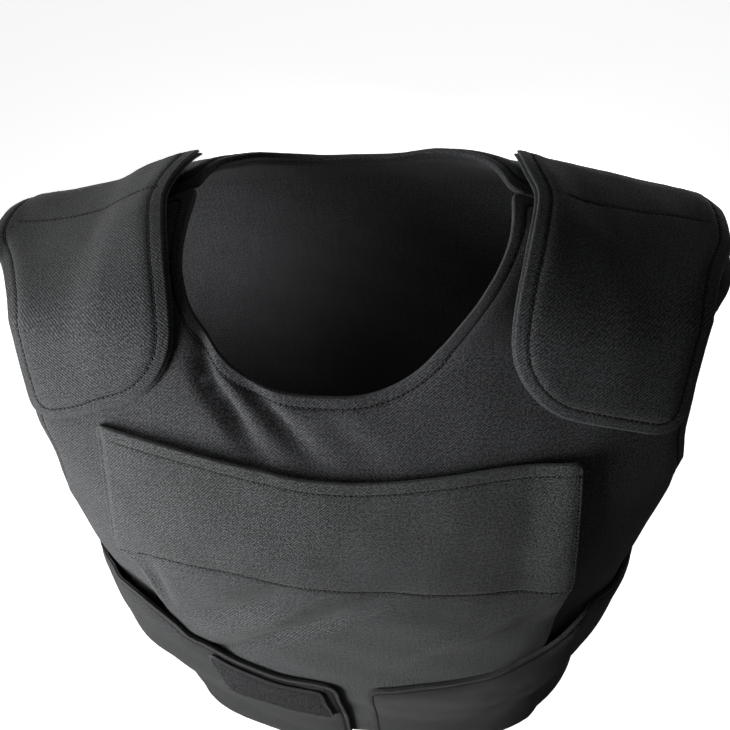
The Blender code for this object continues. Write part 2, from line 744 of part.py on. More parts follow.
def on_flap(flat, side):
    """Body points of flap flat places (x without its side, s)."""
    i = np.clip((flat[:, 0] - CHART_X[0]) / (CHART_X[1] - CHART_X[0]), 0, len(CHART_X) - 1.001)
    j = np.clip((flat[:, 1] - CHART_S[0]) / (CHART_S[1] - CHART_S[0]), 0, len(CHART_S) - 1.001)
    i0, j0 = i.astype(int), j.astype(int)
    fi, fj = i - i0, j - j0

    def mix(grid):
        return ((grid[i0, j0] * (1 - fj) + grid[i0, j0 + 1] * fj) * (1 - fi)
                + (grid[i0 + 1, j0] * (1 - fj) + grid[i0 + 1, j0 + 1] * fj) * fi)
    return np.stack([side * flat[:, 0], mix(CHART_Y), mix(CHART_Z)], 1)


def flap_outline(side):
    """Sides from the table and two rounded front corners, big inside and small outside."""
    table = FLAP_SIDES_LEFT if side == LEFT else FLAP_SIDES_RIGHT
    s, inner_x, outer_x = column(table, 0)[::-1], column(table, 1)[::-1], column(table, 2)[::-1]
    si = np.linspace(-FLAP_FRONT + FLAP_INNER_CORNER, FLAP_BACK, 50)
    so = np.linspace(-FLAP_FRONT + FLAP_OUTER_CORNER, FLAP_BACK, 50)
    inner_edge = np.stack([smooth(si, s, inner_x), si], 1)
    outer_edge = np.stack([smooth(so, s, outer_x), so], 1)
    turn = np.linspace(0, np.pi / 2, 16)[1:-1]
    ri, ro = FLAP_INNER_CORNER, FLAP_OUTER_CORNER
    cos, sin = np.cos(turn), np.sin(turn)
    big = np.stack([inner_edge[0, 0] + ri * (1 - cos), -FLAP_FRONT + ri * (1 - sin)], 1)
    small = np.stack([outer_edge[0, 0] - ro * (1 - cos), -FLAP_FRONT + ro * (1 - sin)], 1)
    whole = np.vstack([inner_edge[::-1], big, small[::-1], outer_edge])
    return soften(whole, FLAP_CORNER_SOFT)


def build_flap(name, side):
    outline = flap_outline(side)
    flat, tris, loop = net(outline, FLAP_NET, SHEET_RIM)
    d = edge_distance(flat, outline)
    thin = (FLAP_THICK - FLAP_EDGE_THICK) * (1 - ease(d / FLAP_PILLOW))
    body = on_flap(flat, side)
    ridge = np.exp(-((flat[:, 1] - FLAP_ARCH_S) / FLAP_ARCH_REACH) ** 2)
    under = FLAP_GAP + FLAP_ARCH * ridge * (1 - between(flat[:, 0], FLAP_ARCH_X))
    base, n = sagged(body), normals(body)
    outer = base + n * (under + FLAP_THICK - (1 - FLAP_THIN_UNDER) * thin)[:, None]
    inner = base + n * (under + FLAP_THIN_UNDER * thin)[:, None]
    return solid(name, tris, loop, outer, inner, FLAP_COLOUR)


build_panel("front_panel", FRONT)
build_panel("back_panel", BACK)
build_pocket()
build_wing("waist_wing_left", LEFT)
build_wing("waist_wing_right", RIGHT)
build_patch()
build_flap("shoulder_flap_left", LEFT)
build_flap("shoulder_flap_right", RIGHT)
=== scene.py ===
# %% [markdown]
# A soft body-armour vest is a set of flat cloth patterns, padded, edged with a turned hem, stitched,
# and bent round a body. The whole model follows that order: first the body the cloth lies on, then
# each flat pattern, then one function that puts every place of the pattern in space.
# The plain solids of the frame stay the measure: every piece here fills the place of its solid.

import bmesh
import bpy
import numpy as np
from mathutils import Matrix, Vector
from mathutils.geometry import delaunay_2d_cdt


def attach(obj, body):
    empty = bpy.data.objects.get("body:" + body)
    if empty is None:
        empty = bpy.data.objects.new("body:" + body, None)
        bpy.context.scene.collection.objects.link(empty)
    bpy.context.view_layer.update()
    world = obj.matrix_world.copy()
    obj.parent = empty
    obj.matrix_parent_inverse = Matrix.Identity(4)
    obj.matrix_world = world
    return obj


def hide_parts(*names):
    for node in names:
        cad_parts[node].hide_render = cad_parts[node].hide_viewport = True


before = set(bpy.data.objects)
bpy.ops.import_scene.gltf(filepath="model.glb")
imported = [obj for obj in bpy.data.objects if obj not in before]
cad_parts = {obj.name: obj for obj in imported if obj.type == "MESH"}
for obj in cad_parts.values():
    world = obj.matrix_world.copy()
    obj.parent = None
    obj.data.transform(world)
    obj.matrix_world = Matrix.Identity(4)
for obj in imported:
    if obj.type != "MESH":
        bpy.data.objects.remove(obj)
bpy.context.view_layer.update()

LEFT, RIGHT = 1.0, -1.0
FRONT, BACK = 1.0, -1.0
print("nodes", sorted(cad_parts))

# %% [markdown]
# The worn vest takes its shape from the trunk under it: wide flat shoulders, a chest, a waist.
# That shape could be sculpted, but a stack of rounded rectangles with a few named sizes is easier to
# correct, and it gives a direction straight out of the cloth at any place.

# %% The body under the cloth
SQUARENESS = 2.55
SECTIONS = (
    # z, half_width, front_y, back_y
    (0.067, 0.036, -0.032, 0.045),
    (0.047, 0.058, -0.045, 0.060),
    (0.017, 0.125, -0.072, 0.080),
    (-0.008, 0.226, -0.087, 0.090),
    (-0.053, 0.240, -0.110, 0.100),
    (-0.113, 0.212, -0.137, 0.108),
    (-0.173, 0.193, -0.151, 0.110),
    (-0.253, 0.179, -0.149, 0.100),
    (-0.333, 0.162, -0.134, 0.088),
    (-0.413, 0.158, -0.128, 0.085),
)
LOWEST_Z, WIDEST_Z, HIGHEST_Z = -0.460, -0.160, 0.066
# The usual depth of a ring as a share of its width, and where the cloth height is measured.
RING_DEPTH_SHARE = 0.62
RISE_WIDTH_SHARE, RISE_DEPTH_SHARE = 0.80, 0.70
# The wearer's right strap sags in the middle of its width, fading out below the strap.
STRAP_SAG = (
    # x, dz
    (-0.240, 0.005),
    (-0.218, 0.002),
    (-0.205, -0.004),
    (-0.180, -0.0065),
    (-0.152, -0.0055),
    (-0.128, -0.0005),
    (-0.105, 0.0005),
    (-0.080, 0.0),
    (0.240, 0.0),
)
SAG_FADE_FROM, SAG_FADE_TO = -0.100, -0.030


def column(table, k):
    """One named column of a table as an array."""
    return np.array([row[k] for row in table], dtype=float)


def smooth(x, xs, ys):
    """Cubic through table rows (xs rising), flat where the rows turn, straight outside."""
    x = np.asarray(x, dtype=float)
    h = np.diff(xs)
    d = np.diff(ys) / h
    m = np.empty(len(xs))
    turn = d[:-1] * d[1:] > 0
    m[1:-1] = np.where(turn, 2 * d[:-1] * d[1:] / np.where(turn, d[:-1] + d[1:], 1.0), 0.0)
    m[0], m[-1] = d[0], d[-1]
    i = np.clip(np.searchsorted(xs, x) - 1, 0, len(h) - 1)
    t = (x - xs[i]) / h[i]
    c = np.clip(t, 0, 1)
    inside = (ys[i] * (1 + 2 * c) * (1 - c) ** 2 + h[i] * m[i] * c * (1 - c) ** 2
              + ys[i + 1] * c ** 2 * (3 - 2 * c) + h[i] * m[i + 1] * c ** 2 * (c - 1))
    return inside + h[i] * (np.minimum(t, 0) * m[i] + np.maximum(t - 1, 0) * m[i + 1])


def read(table, at, k=1):
    """Column k of a table at the places of its first column, smooth between the rows."""
    return smooth(at, column(table, 0), column(table, k))


def section(z):
    """Half width, half depth and middle y of the body ring at height z."""
    down = -np.asarray(z, dtype=float)
    half_width, front, back = [smooth(down, -column(SECTIONS, 0), column(SECTIONS, k)) for k in (1, 2, 3)]
    return half_width, (back - front) / 2, (back + front) / 2


def level(x, y, z):
    """Zero on the body, positive outside: (x/a)^n + ((y-c)/b)^n - 1."""
    a, b, c = section(z)
    return np.abs(x / a) ** SQUARENESS + np.abs((y - c) / b) ** SQUARENESS - 1


def normals(p):
    """Outward unit normals: the gradient of the level by small steps."""
    e = 1e-4
    g = np.stack([level(p[:, 0] + e, p[:, 1], p[:, 2]) - level(p[:, 0] - e, p[:, 1], p[:, 2]),
                  level(p[:, 0], p[:, 1] + e, p[:, 2]) - level(p[:, 0], p[:, 1] - e, p[:, 2]),
                  level(p[:, 0], p[:, 1], p[:, 2] + e) - level(p[:, 0], p[:, 1], p[:, 2] - e)], 1)
    return g / np.maximum(np.linalg.norm(g, axis=1), 1e-12)[:, None]


def sagged(p):
    """Body points lowered by the strap sag, all of it near the top."""
    dz = read(STRAP_SAG, p[:, 0])
    part = np.clip((p[:, 2] - SAG_FADE_FROM) / (SAG_FADE_TO - SAG_FADE_FROM), 0, 1)
    return p + np.stack([0 * dz, 0 * dz, dz * part * part * (3 - 2 * part)], 1)


print("body rings", len(SECTIONS))

# %% [markdown]
# A tailor measures along the cloth, not through the air. So a pattern place is (u, v): u is the
# length round the body from the middle, v the length up the chest and over the strap. Working in
# these lengths keeps hems, stitches and weave at their true size wherever the body bends.

# %% From the flat pattern to the body
# One ring as a share q of its quarter length: q 0 at the front or back middle, 1 at the side.
TURN = np.linspace(0, np.pi / 2, 4001)
RING_S = np.sin(TURN) ** (2 / SQUARENESS)
RING_C = np.cos(TURN) ** (2 / SQUARENESS)
RING_L = np.concatenate([[0.0], np.cumsum(np.hypot(np.diff(RING_S), RING_DEPTH_SHARE * np.diff(RING_C)))])
RING_Q = RING_L / RING_L[-1]
QUARTER = RING_L[-1] / np.hypot(1, RING_DEPTH_SHARE)
RISE_Z = np.linspace(LOWEST_Z, HIGHEST_Z, 800)


def on_ring(q, z, facing):
    """Point on the body at share q of the quarter ring and height z, from the front or back."""
    a, b, c = section(z)
    k = np.abs(q)
    over = k > 1
    k = np.where(over, 2 - k, k)
    s = np.interp(k, RING_Q, RING_S)
    r = np.interp(k, RING_Q, RING_C) * np.where(over, -1.0, 1.0)
    return np.stack([np.sign(q) * a * s, c - facing * b * r, z + 0 * q], 1)


def quarter(z):
    """Length of a quarter ring."""
    a, b, _ = section(z)
    return QUARTER * np.hypot(a, b)


def rise(facing):
    """Length up the cloth: sums of small steps on a line that keeps its share of width and depth."""
    a, b, c = section(RISE_Z)
    x, y = RISE_WIDTH_SHARE * a, c - facing * RISE_DEPTH_SHARE * b
    step = np.sqrt(np.diff(x) ** 2 + np.diff(y) ** 2 + np.diff(RISE_Z) ** 2)
    return np.concatenate([[0.0], np.cumsum(step)])


RISE = {FRONT: rise(FRONT), BACK: rise(BACK)}


def flat_from_qz(q, z, facing):
    """Flat pattern place (u across, v up) of a ring share and height."""
    return np.stack([q * quarter(z), np.interp(z, RISE_Z, RISE[facing])], 1)


def qz_from_flat(flat, facing):
    """Ring share and height of a flat pattern place."""
    z = np.interp(flat[:, 1], RISE[facing], RISE_Z)
    return flat[:, 0] / quarter(z), z


def q_from_x(x, z):
    """Ring share where the ring at height z has the given x."""
    a, _, _ = section(z)
    return np.sign(x) * np.interp(np.minimum(np.abs(x) / a, 1.0), RING_S, RING_Q)


def flat_from_xz(x, z, facing=FRONT):
    """Flat place of a point seen from the front or back, at x and height z."""
    return flat_from_qz(q_from_x(x, z), z, facing)


def height_above(x, y):
    """Height of the body seen from above, by halving the interval."""
    lo, hi = np.full(len(x), WIDEST_Z), np.full(len(x), HIGHEST_Z)
    for _ in range(40):
        mid = (lo + hi) / 2
        out = level(x, y, mid) > 0
        hi, lo = np.where(out, mid, hi), np.where(out, lo, mid)
    return (lo + hi) / 2


def flat_from_xy(x, y, facing):
    """Flat place of a point seen from above; past the ridge the ring share goes beyond 1."""
    x, y = np.asarray(x, dtype=float), np.asarray(y, dtype=float)
    z = height_above(x, y)
    q = q_from_x(x, z)
    _, _, c = section(z)
    beyond = facing * (y - c) > 0
    q = np.where(beyond, np.sign(q) * (2 - np.abs(q)), q)
    return flat_from_qz(q, z, facing)


print("quarter round the chest", round(float(quarter(-0.15)), 3), "m")

# %% [markdown]
# Cut lines on cloth never have hard corners once the edge is turned, so every outline is drawn
# from short tables and then rounded by averaging along itself. Distances to an outline or to a
# stitch line drive everything else: padding, hem, grooves and wear.

# %% Drawing and measuring outlines
SOFT_STEP = 0.002
EDGE_STEP = 0.0026
LINE_STEP = 0.003


def resample(points, step, closed=False):
    """The same polyline with even steps."""
    pts = np.vstack([points, points[:1]]) if closed else points
    length = np.concatenate([[0.0], np.cumsum(np.linalg.norm(np.diff(pts, axis=0), axis=1))])
    n = max(2, int(round(length[-1] / step)))
    at = np.linspace(0, length[-1], n + 1)
    out = np.stack([np.interp(at, length, pts[:, k]) for k in range(2)], 1)
    return out[:-1] if closed else out


def soften(points, radius):
    """Round the corners of a closed outline by averaging along it."""
    dense = resample(points, SOFT_STEP, closed=True)
    n = len(dense)
    k = np.arange(n)
    w = np.exp(-0.5 * (np.minimum(k, n - k) * SOFT_STEP / radius) ** 2)
    w /= w.sum()
    return np.stack([np.real(np.fft.ifft(np.fft.fft(dense[:, j]) * np.fft.fft(w)))
                     for j in range(2)], 1)


def inside(points, outline):
    """Even-odd test of flat points against the closed outline."""
    x, y = points[:, 0][:, None], points[:, 1][:, None]
    a, b = outline, np.roll(outline, -1, axis=0)
    cross = (a[:, 1] > y) != (b[:, 1] > y)
    slope = (b[:, 0] - a[:, 0]) / np.where(b[:, 1] == a[:, 1], 1e-12, b[:, 1] - a[:, 1])
    return (cross & (x < a[:, 0] + slope * (y - a[:, 1]))).sum(1) % 2 == 1


def near(points, path, closed=True):
    """For each point the least distance to a polyline, and the length along it of that nearest place."""
    a = path if closed else path[:-1]
    b = np.roll(path, -1, axis=0) if closed else path[1:]
    ab = b - a
    size = np.linalg.norm(ab, axis=1)
    start = np.concatenate([[0.0], np.cumsum(size)[:-1]])
    gap, along = np.empty(len(points)), np.empty(len(points))
    for k in range(0, len(points), 1500):
        p = points[k:k + 1500, None, :] - a
        t = np.clip((p * ab).sum(2) / size ** 2, 0, 1)
        off = np.hypot(p[..., 0] - t * ab[:, 0], p[..., 1] - t * ab[:, 1])
        i = off.argmin(1)
        row = np.arange(len(i))
        gap[k:k + 1500], along[k:k + 1500] = off[row, i], start[i] + t[row, i] * size[i]
    return gap, along


def signed_area(path):
    """Area inside a closed outline, positive when it runs anticlockwise: half the sum of cross products."""
    x, y = path.T
    return 0.5 * np.sum(x * np.roll(y, -1) - np.roll(x, -1) * y)


def inward(path):
    """Unit direction from each point of a closed outline into the piece."""
    t = np.roll(path, -1, axis=0) - np.roll(path, 1, axis=0)
    turn = np.sign(signed_area(path))
    return turn * np.stack([-t[:, 1], t[:, 0]], 1) / np.linalg.norm(t, axis=1)[:, None]


def inset(outline, depth):
    """Outline moved inwards by depth, without the points that a tight corner pushes too close."""
    edge = resample(outline, EDGE_STEP, closed=True)
    moved = edge + inward(edge) * depth
    gap, _ = near(moved, outline)
    return moved[(gap > 0.97 * depth) & inside(moved, outline)]


def ease(t):
    """Smooth step from 0 to 1."""
    t = np.clip(t, 0, 1)
    return t * t * (3 - 2 * t)


def between(x, limits):
    """Smooth step from 0 at the first limit to 1 at the second."""
    return ease((x - limits[0]) / (limits[1] - limits[0]))


# %% [markdown]
# A piece of cloth has two faces and an edge. The faces are one net of points over the pattern,
# laid twice: once on the outer height, once on the inner height. The edge is a small profile
# carried round the outline, so it can be a single fold or the two lips of two layers sewn together.

# %% Net, faces and edge of one piece
SINGLE_FOLD = (
    # share_of_thickness from the outer face, out
    (0.04, 0.00025),
    (0.14, 0.00060),
    (0.32, 0.00092),
    (0.50, 0.00100),
    (0.68, 0.00092),
    (0.86, 0.00060),
    (0.96, 0.00025),
)
TWO_LAYERS = (
    # share_of_thickness, out: two lips and the slit between them
    (0.03, 0.00045),
    (0.14, 0.00095),
    (0.28, 0.00110),
    (0.40, 0.00075),
    (0.47, -0.00010),
    (0.50, -0.00110),
    (0.53, -0.00010),
    (0.60, 0.00075),
    (0.72, 0.00110),
    (0.86, 0.00095),
    (0.97, 0.00045),
)
UNDER_LIP = (
    # share_of_thickness, out: the lip of the under layer reaches past the upper one
    (0.03, 0.00035),
    (0.14, 0.00075),
    (0.28, 0.00085),
    (0.40, 0.00050),
    (0.46, -0.00020),
    (0.50, -0.00090),
    (0.54, 0.00040),
    (0.62, 0.00160),
    (0.74, 0.00210),
    (0.86, 0.00170),
    (0.96, 0.00080),
)


# How far in the slope at the edge is measured, and how far the weave runs on round the edge.
EDGE_PROBE, EDGE_WRAP = 0.0015, 0.003
HEXAGON_ROW = 0.866
ROWS_BESIDE_LINE = (-0.0022, -0.0009, 0.0, 0.0009, 0.0022)
NARROWEST_HEM, HEM_LOOP_GAP, FIRST_LOOP, LAST_LOOP = 0.0020, 0.0013, 0.0007, 0.0014
DEPTHS_PAST_HEM = (-0.0007, 0.0, 0.0007, 0.0016, 0.0030, 0.0055, 0.0090)


def hem_depths(width):
    """Loop depths: evenly spaced up to the stitch line, close round it, wider beyond it."""
    count = 1 + int((width - NARROWEST_HEM) / HEM_LOOP_GAP)
    before = np.linspace(FIRST_LOOP, width - LAST_LOOP, count)
    return *before, *(width + np.array(DEPTHS_PAST_HEM))


def pattern_net(outline, spacing, depths, lines=()):
    """Points on the edge, on loops inside it, beside stitch lines and on a hexagon fill, with triangles."""
    edge = resample(outline, EDGE_STEP, closed=True)
    loops = [inset(outline, depth) for depth in depths]
    rows = []
    for line in lines:
        even = resample(line, EDGE_STEP)
        ahead = np.gradient(even, axis=0)
        side = np.stack([-ahead[:, 1], ahead[:, 0]], 1) / np.linalg.norm(ahead, axis=1)[:, None]
        both = np.concatenate([even + side * off for off in ROWS_BESIDE_LINE])
        gap, _ = near(both, outline)
        rows.append(both[(gap > depths[-1] + 0.001) & inside(both, outline)])
    lo, hi = outline.min(0), outline.max(0)
    height = np.arange(lo[1], hi[1], spacing * HEXAGON_ROW)
    gx, gy = np.meshgrid(np.arange(lo[0], hi[0], spacing), height)
    gx = gx + 0.5 * spacing * (np.arange(len(height)) % 2)[:, None]
    fill = np.stack([gx.ravel(), gy.ravel()], 1)
    fill = fill[inside(fill, outline)]
    gap, _ = near(fill, outline)
    fill = fill[gap > depths[-1] + 0.6 * spacing]
    for line in lines:
        gap, _ = near(fill, line, closed=False)
        fill = fill[gap > ROWS_BESIDE_LINE[-1] + 0.5 * spacing]
    points = np.vstack([edge, *loops, *rows, fill])
    n = len(edge)
    result = delaunay_2d_cdt([Vector(p) for p in points.tolist()],
                             [(i, (i + 1) % n) for i in range(n)], [], 1, 1e-7)
    flat = np.array([tuple(v) for v in result[0]])
    tris = np.array([f for f in result[2] if len(f) == 3])
    new_of_old = np.empty(len(points), int)
    for new, olds in enumerate(result[3]):
        new_of_old[olds] = new
    return flat, tris, new_of_old[:n]


def unit(v):
    """Vectors divided by their length."""
    return v / np.maximum(np.linalg.norm(v, axis=-1, keepdims=True), 1e-12)


def make_mesh(name, points, faces, flat=None, marks=None):
    """Object from arrays: faces turned outwards, smooth, pattern places as UV, marks as point attributes."""
    mesh = bpy.data.meshes.new(name)
    mesh.from_pydata(points.tolist(), [], faces)
    work = bmesh.new()
    work.from_mesh(mesh)
    bmesh.ops.recalc_face_normals(work, faces=work.faces[:])
    if work.calc_volume(signed=True) < 0:
        bmesh.ops.reverse_faces(work, faces=work.faces[:])
    work.to_mesh(mesh)
    work.free()
    mesh.polygons.foreach_set("use_smooth", np.ones(len(mesh.polygons), bool))
    if flat is not None:
        corner = np.empty(len(mesh.loops), np.int32)
        mesh.loops.foreach_get("vertex_index", corner)
        mesh.uv_layers.new(name="Pattern").data.foreach_set("uv", flat[corner].astype(np.float32).ravel())
    for key, values in (marks or {}).items():
        mesh.attributes.new(key, "FLOAT", "POINT").data.foreach_set("value", values.astype(np.float32))
    piece = bpy.data.objects.new(name, mesh)
    bpy.context.scene.collection.objects.link(piece)
    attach(piece, "root")
    return piece


def cloth(name, outline, outer, inner, edge=SINGLE_FOLD, spacing=0.0040, seam=None, **net):
    """Closed piece: two faces over the pattern; edge point = outer..inner by its share + away * reach."""
    flat, tris, loop = pattern_net(outline, spacing, **net)
    top, under = outer(flat), inner(flat)
    rim = flat[loop]
    out = -inward(rim)
    away = unit(top[loop] - outer(rim - out * EDGE_PROBE))
    rings = [top[loop] * (1 - share) + under[loop] * share + away * reach for share, reach in edge]
    n, m = len(flat), len(loop)
    index = [loop, *[2 * n + k * m + np.arange(m) for k in range(len(edge))], n + loop]
    strips = [np.stack([a, b, np.roll(b, -1), np.roll(a, -1)], 1) for a, b in zip(index[:-1], index[1:])]
    faces = tris.tolist() + (tris[:, ::-1] + n).tolist() + np.concatenate(strips).tolist()
    places = np.vstack([flat, flat, *[rim + out * (reach + EDGE_WRAP * share) for share, reach in edge]])
    gap, _ = near(flat, outline)
    sewn = np.ones(n) if seam is None else seam(flat)
    ends = np.zeros(m * len(edge))
    marks = {"hem": np.concatenate([gap, gap, ends]), "seam": np.concatenate([sewn, sewn, ends + 1])}
    piece = make_mesh(name, np.vstack([top, under, *rings]), faces, places, marks)
    print(name, "faces", len(piece.data.polygons))
    return piece


# %% [markdown]
# Stitches are real thread: short dashes that dive into the cloth at both ends. They could be
# painted, but at this distance their shadows show, so each is a rod of a few dozen faces, and all
# the dashes of a line are worked out at once. The cloth sinks along the line, where thread pulls it.

# %% Stitch lines and hems
STITCH_PITCH = 0.0029
STITCH_LENGTH = 0.0019
THREAD_RADIUS = 0.00050
DASH = (
    # share of the length, share of the radius, height
    (-0.50, 0.35, -0.00042),
    (-0.42, 0.85, 0.0),
    (-0.18, 1.0, 0.00030),
    (0.18, 1.0, 0.00030),
    (0.42, 0.85, 0.0),
    (0.50, 0.35, -0.00042),
)
DASH_CORNERS = 6
SMALL_STEP = 0.0005
GROOVE_WIDTH = 0.0007
GATHER = 0.00022
GATHER_FADE = 0.006
GATHER_WAVES = (
    # length, how fast the seed turns it, weight
    (0.0113, 1.0, 1.0),
    (0.0074, 2.3, 1.0),
    (0.0291, 4.1, 0.8),
)


def wander(s, seed):
    """Uneven wave along a length s: three sines whose lengths do not divide one another."""
    waves = [weight * np.sin(2 * np.pi * s / length + turn * seed) for length, turn, weight in GATHER_WAVES]
    return sum(waves) / column(GATHER_WAVES, 2).sum()


def sewn_line(gap, along, seed, depth=0.0006):
    """Height beside a stitch line: a narrow groove on it and small gathers that fade beside it."""
    groove = depth * np.exp(-(gap / GROOVE_WIDTH) ** 2)
    return GATHER * wander(along, seed) * np.exp(-gap / GATHER_FADE) - groove


def turned_hem(gap, along, seed, width, lift=0.0003):
    """Height near an edge: a low crown as wide as the hem, then the sewn line at its inner side."""
    crown = lift * np.sin(np.pi * np.clip(gap / width, 0, 1)) ** 0.8
    return crown + sewn_line(np.abs(gap - width), along, seed)


def rod_faces(count, rings, corners):
    """Faces of many closed rods, each of so many rings with so many corners: sides and two end caps."""
    grid = np.arange(rings * corners).reshape(rings, corners)
    low, high = grid[:-1], grid[1:]
    sides = np.stack([low, np.roll(low, -1, 1), np.roll(high, -1, 1), high], -1).reshape(-1, 4)
    start = rings * corners * np.arange(count)
    faces = (sides[None] + start[:, None, None]).reshape(-1, 4).tolist()
    return faces + (grid[0, ::-1] + start[:, None]).tolist() + (grid[-1] + start[:, None]).tolist()


def dashes(surface, line, closed=False):
    """Points and faces of the thread along a flat line: rods that arch up between two needle holes."""
    path = resample(line, STITCH_PITCH, closed=closed)
    ahead = np.roll(path, -1, axis=0) - path
    if not closed:
        path, ahead = path[:-1], ahead[:-1]
    mid = path + ahead / 2
    along = unit(ahead) * SMALL_STEP
    across = along[:, ::-1] * np.array([-1.0, 1.0])
    p = surface(mid)
    t = unit(surface(mid + along) - p)
    b = surface(mid + across) - p
    b = unit(b - t * (b * t).sum(1, keepdims=True))
    n = np.cross(t, b)
    n *= np.sign((n * normals(p)).sum(1, keepdims=True))
    run, fat = column(DASH, 0) * STITCH_LENGTH, column(DASH, 1) * THREAD_RADIUS
    rise_up = column(DASH, 2)
    turn = np.linspace(0, 2 * np.pi, DASH_CORNERS, endpoint=False)
    side = fat[:, None] * np.cos(turn)
    up = rise_up[:, None] + fat[:, None] * np.sin(turn)
    rods = (p[:, None, None] + t[:, None, None] * run[:, None, None]
            + b[:, None, None] * side[..., None] + n[:, None, None] * up[..., None])
    return rods.reshape(-1, 3), rod_faces(len(p), len(DASH), DASH_CORNERS)


def thread(name, surface, lines):
    """One mesh of all the dashes on a piece; lines is a list of (flat line, closed)."""
    points, faces, base = [], [], 0
    for line, closed in lines:
        p, f = dashes(surface, line, closed)
        faces += [[i + base for i in face] for face in f]
        base += len(p)
        points.append(p)
    piece = make_mesh(name, np.vstack(points), faces)
    print(name, "dashes", base // (len(DASH) * DASH_CORNERS))
    return piece


# %% [markdown]
# Worn cloth is never even. The folds seen from the front are rows of a table: a long soft groove
# or ridge each. A slow swell over the whole body keeps the padding from looking machined. Both are
# read by every layer, so a pocket follows the panel under it and the layers never meet.

# %% Folds and the slow swell of the padding
FOLDS = (
    # x, z, angle in degrees from the X axis, half_length, half_width, depth
    (-0.0735, -0.0110, -85.0, 0.018, 0.0046, -0.0055),
    (-0.0612, -0.0375, -56.0, 0.026, 0.0050, -0.0080),
    (-0.0325, -0.0433, -44.0, 0.025, 0.0048, -0.0064),
    (0.0060, -0.0490, -42.0, 0.018, 0.0070, -0.0018),
    (-0.115, -0.161, -80.0, 0.018, 0.0050, -0.0036),
    (-0.070, -0.168, 32.0, 0.034, 0.0055, -0.0042),
    (-0.056, -0.181, 33.0, 0.046, 0.0066, 0.0042),
    (-0.035, -0.190, 35.0, 0.052, 0.0060, -0.0076),
    (0.083, -0.179, 33.0, 0.044, 0.0090, 0.0038),
)
SWELL = 0.0005


def folds(p):
    """Sum of depth * exp(-(along / half_length)^2 - (across / half_width)^2) over the rows, front only."""
    total = np.zeros(len(p))
    for x, z, angle, half_length, half_width, depth in FOLDS:
        a = np.radians(angle)
        dx, dz = p[:, 0] - x, p[:, 2] - z
        along = dx * np.cos(a) + dz * np.sin(a)
        across = -dx * np.sin(a) + dz * np.cos(a)
        total += depth * np.exp(-(along / half_length) ** 2 - (across / half_width) ** 2)
    return np.where(p[:, 1] < 0, total, 0.0)


def swell(p):
    """Slow unevenness: two products of sines 50 to 120 mm long, at most 0.8 mm high together."""
    x, y, z = 2 * np.pi * p.T
    a = np.sin(x / 0.083 + z / 0.121 + 0.6) * np.sin(y / 0.097 - z / 0.071 + 1.9)
    b = np.sin(x / 0.052 - z / 0.064 + 2.2) * np.sin(y / 0.061 + x / 0.117)
    return SWELL * (a + 0.6 * b)


def relief(p):
    """Height shared by all layers at a body place."""
    return folds(p) + swell(p)


def body_at(flat, facing):
    """Body place of a pattern place, before the strap sags."""
    return on_ring(*qz_from_flat(flat, facing), facing)


def raised(p, height):
    """Body places after the sag, moved straight out by height."""
    return sagged(p) + normals(p) * height[:, None]


def laid(flat, facing, height):
    """Place on the body of a pattern place, raised straight out by height."""
    return raised(body_at(flat, facing), height)


print("folds", len(FOLDS))


class Line:
    """An outline or stitch line that keeps the distances it gave for the last points asked."""

    def __init__(self, drawn, closed=True):
        self.drawn, self.closed, self.last = drawn, closed, None
        self.path = resample(drawn, LINE_STEP, closed=closed)

    def __call__(self, flat):
        if self.last is not flat:
            self.last, self.answer = flat, near(flat, self.path, self.closed)
        return self.answer


# %% [markdown]
# Colour comes last on the real thing too: the twill is dyed black, so what the eye sees is the weave,
# the light on its ribs, a little lint and the paler rubbed edges. All of it is worked out by nodes
# on the pattern places, so the ribs keep their width round every bend. Painting it would blur.

# %% Shader sums
class Wire:
    """A shader socket that can stand in a sum: each operator adds one Math node."""

    def __init__(self, finish, socket):
        self.finish, self.socket = finish, socket

    def maths(self, operation, *values):
        """One Math node on the values or links."""
        return self.finish.node("ShaderNodeMath", {"operation": operation}, dict(enumerate(values)))[0]

    def __add__(self, other):
        return self.maths("ADD", self, other)

    def __sub__(self, other):
        return self.maths("SUBTRACT", self, other)

    def __rsub__(self, other):
        return self.maths("SUBTRACT", other, self)

    def __mul__(self, other):
        return self.maths("MULTIPLY", self, other)

    def __truediv__(self, other):
        return self.maths("DIVIDE", self, other)

    __radd__ = __add__
    __rmul__ = __mul__

    def sin(self):
        return self.maths("SINE", self)

    def abs(self):
        return self.maths("ABSOLUTE", self)

    def bell(self, width):
        """1 where the value is 0, falling to nothing beside it: exp(-(value / width)^2)."""
        return self.maths("EXPONENT", (self / width).power(2.0) * -1.0)

    def clamp(self, low=0.0, high=1.0):
        return self.maths("MINIMUM", self.maths("MAXIMUM", self, low), high)

    def power(self, exponent):
        return self.maths("POWER", self, exponent)


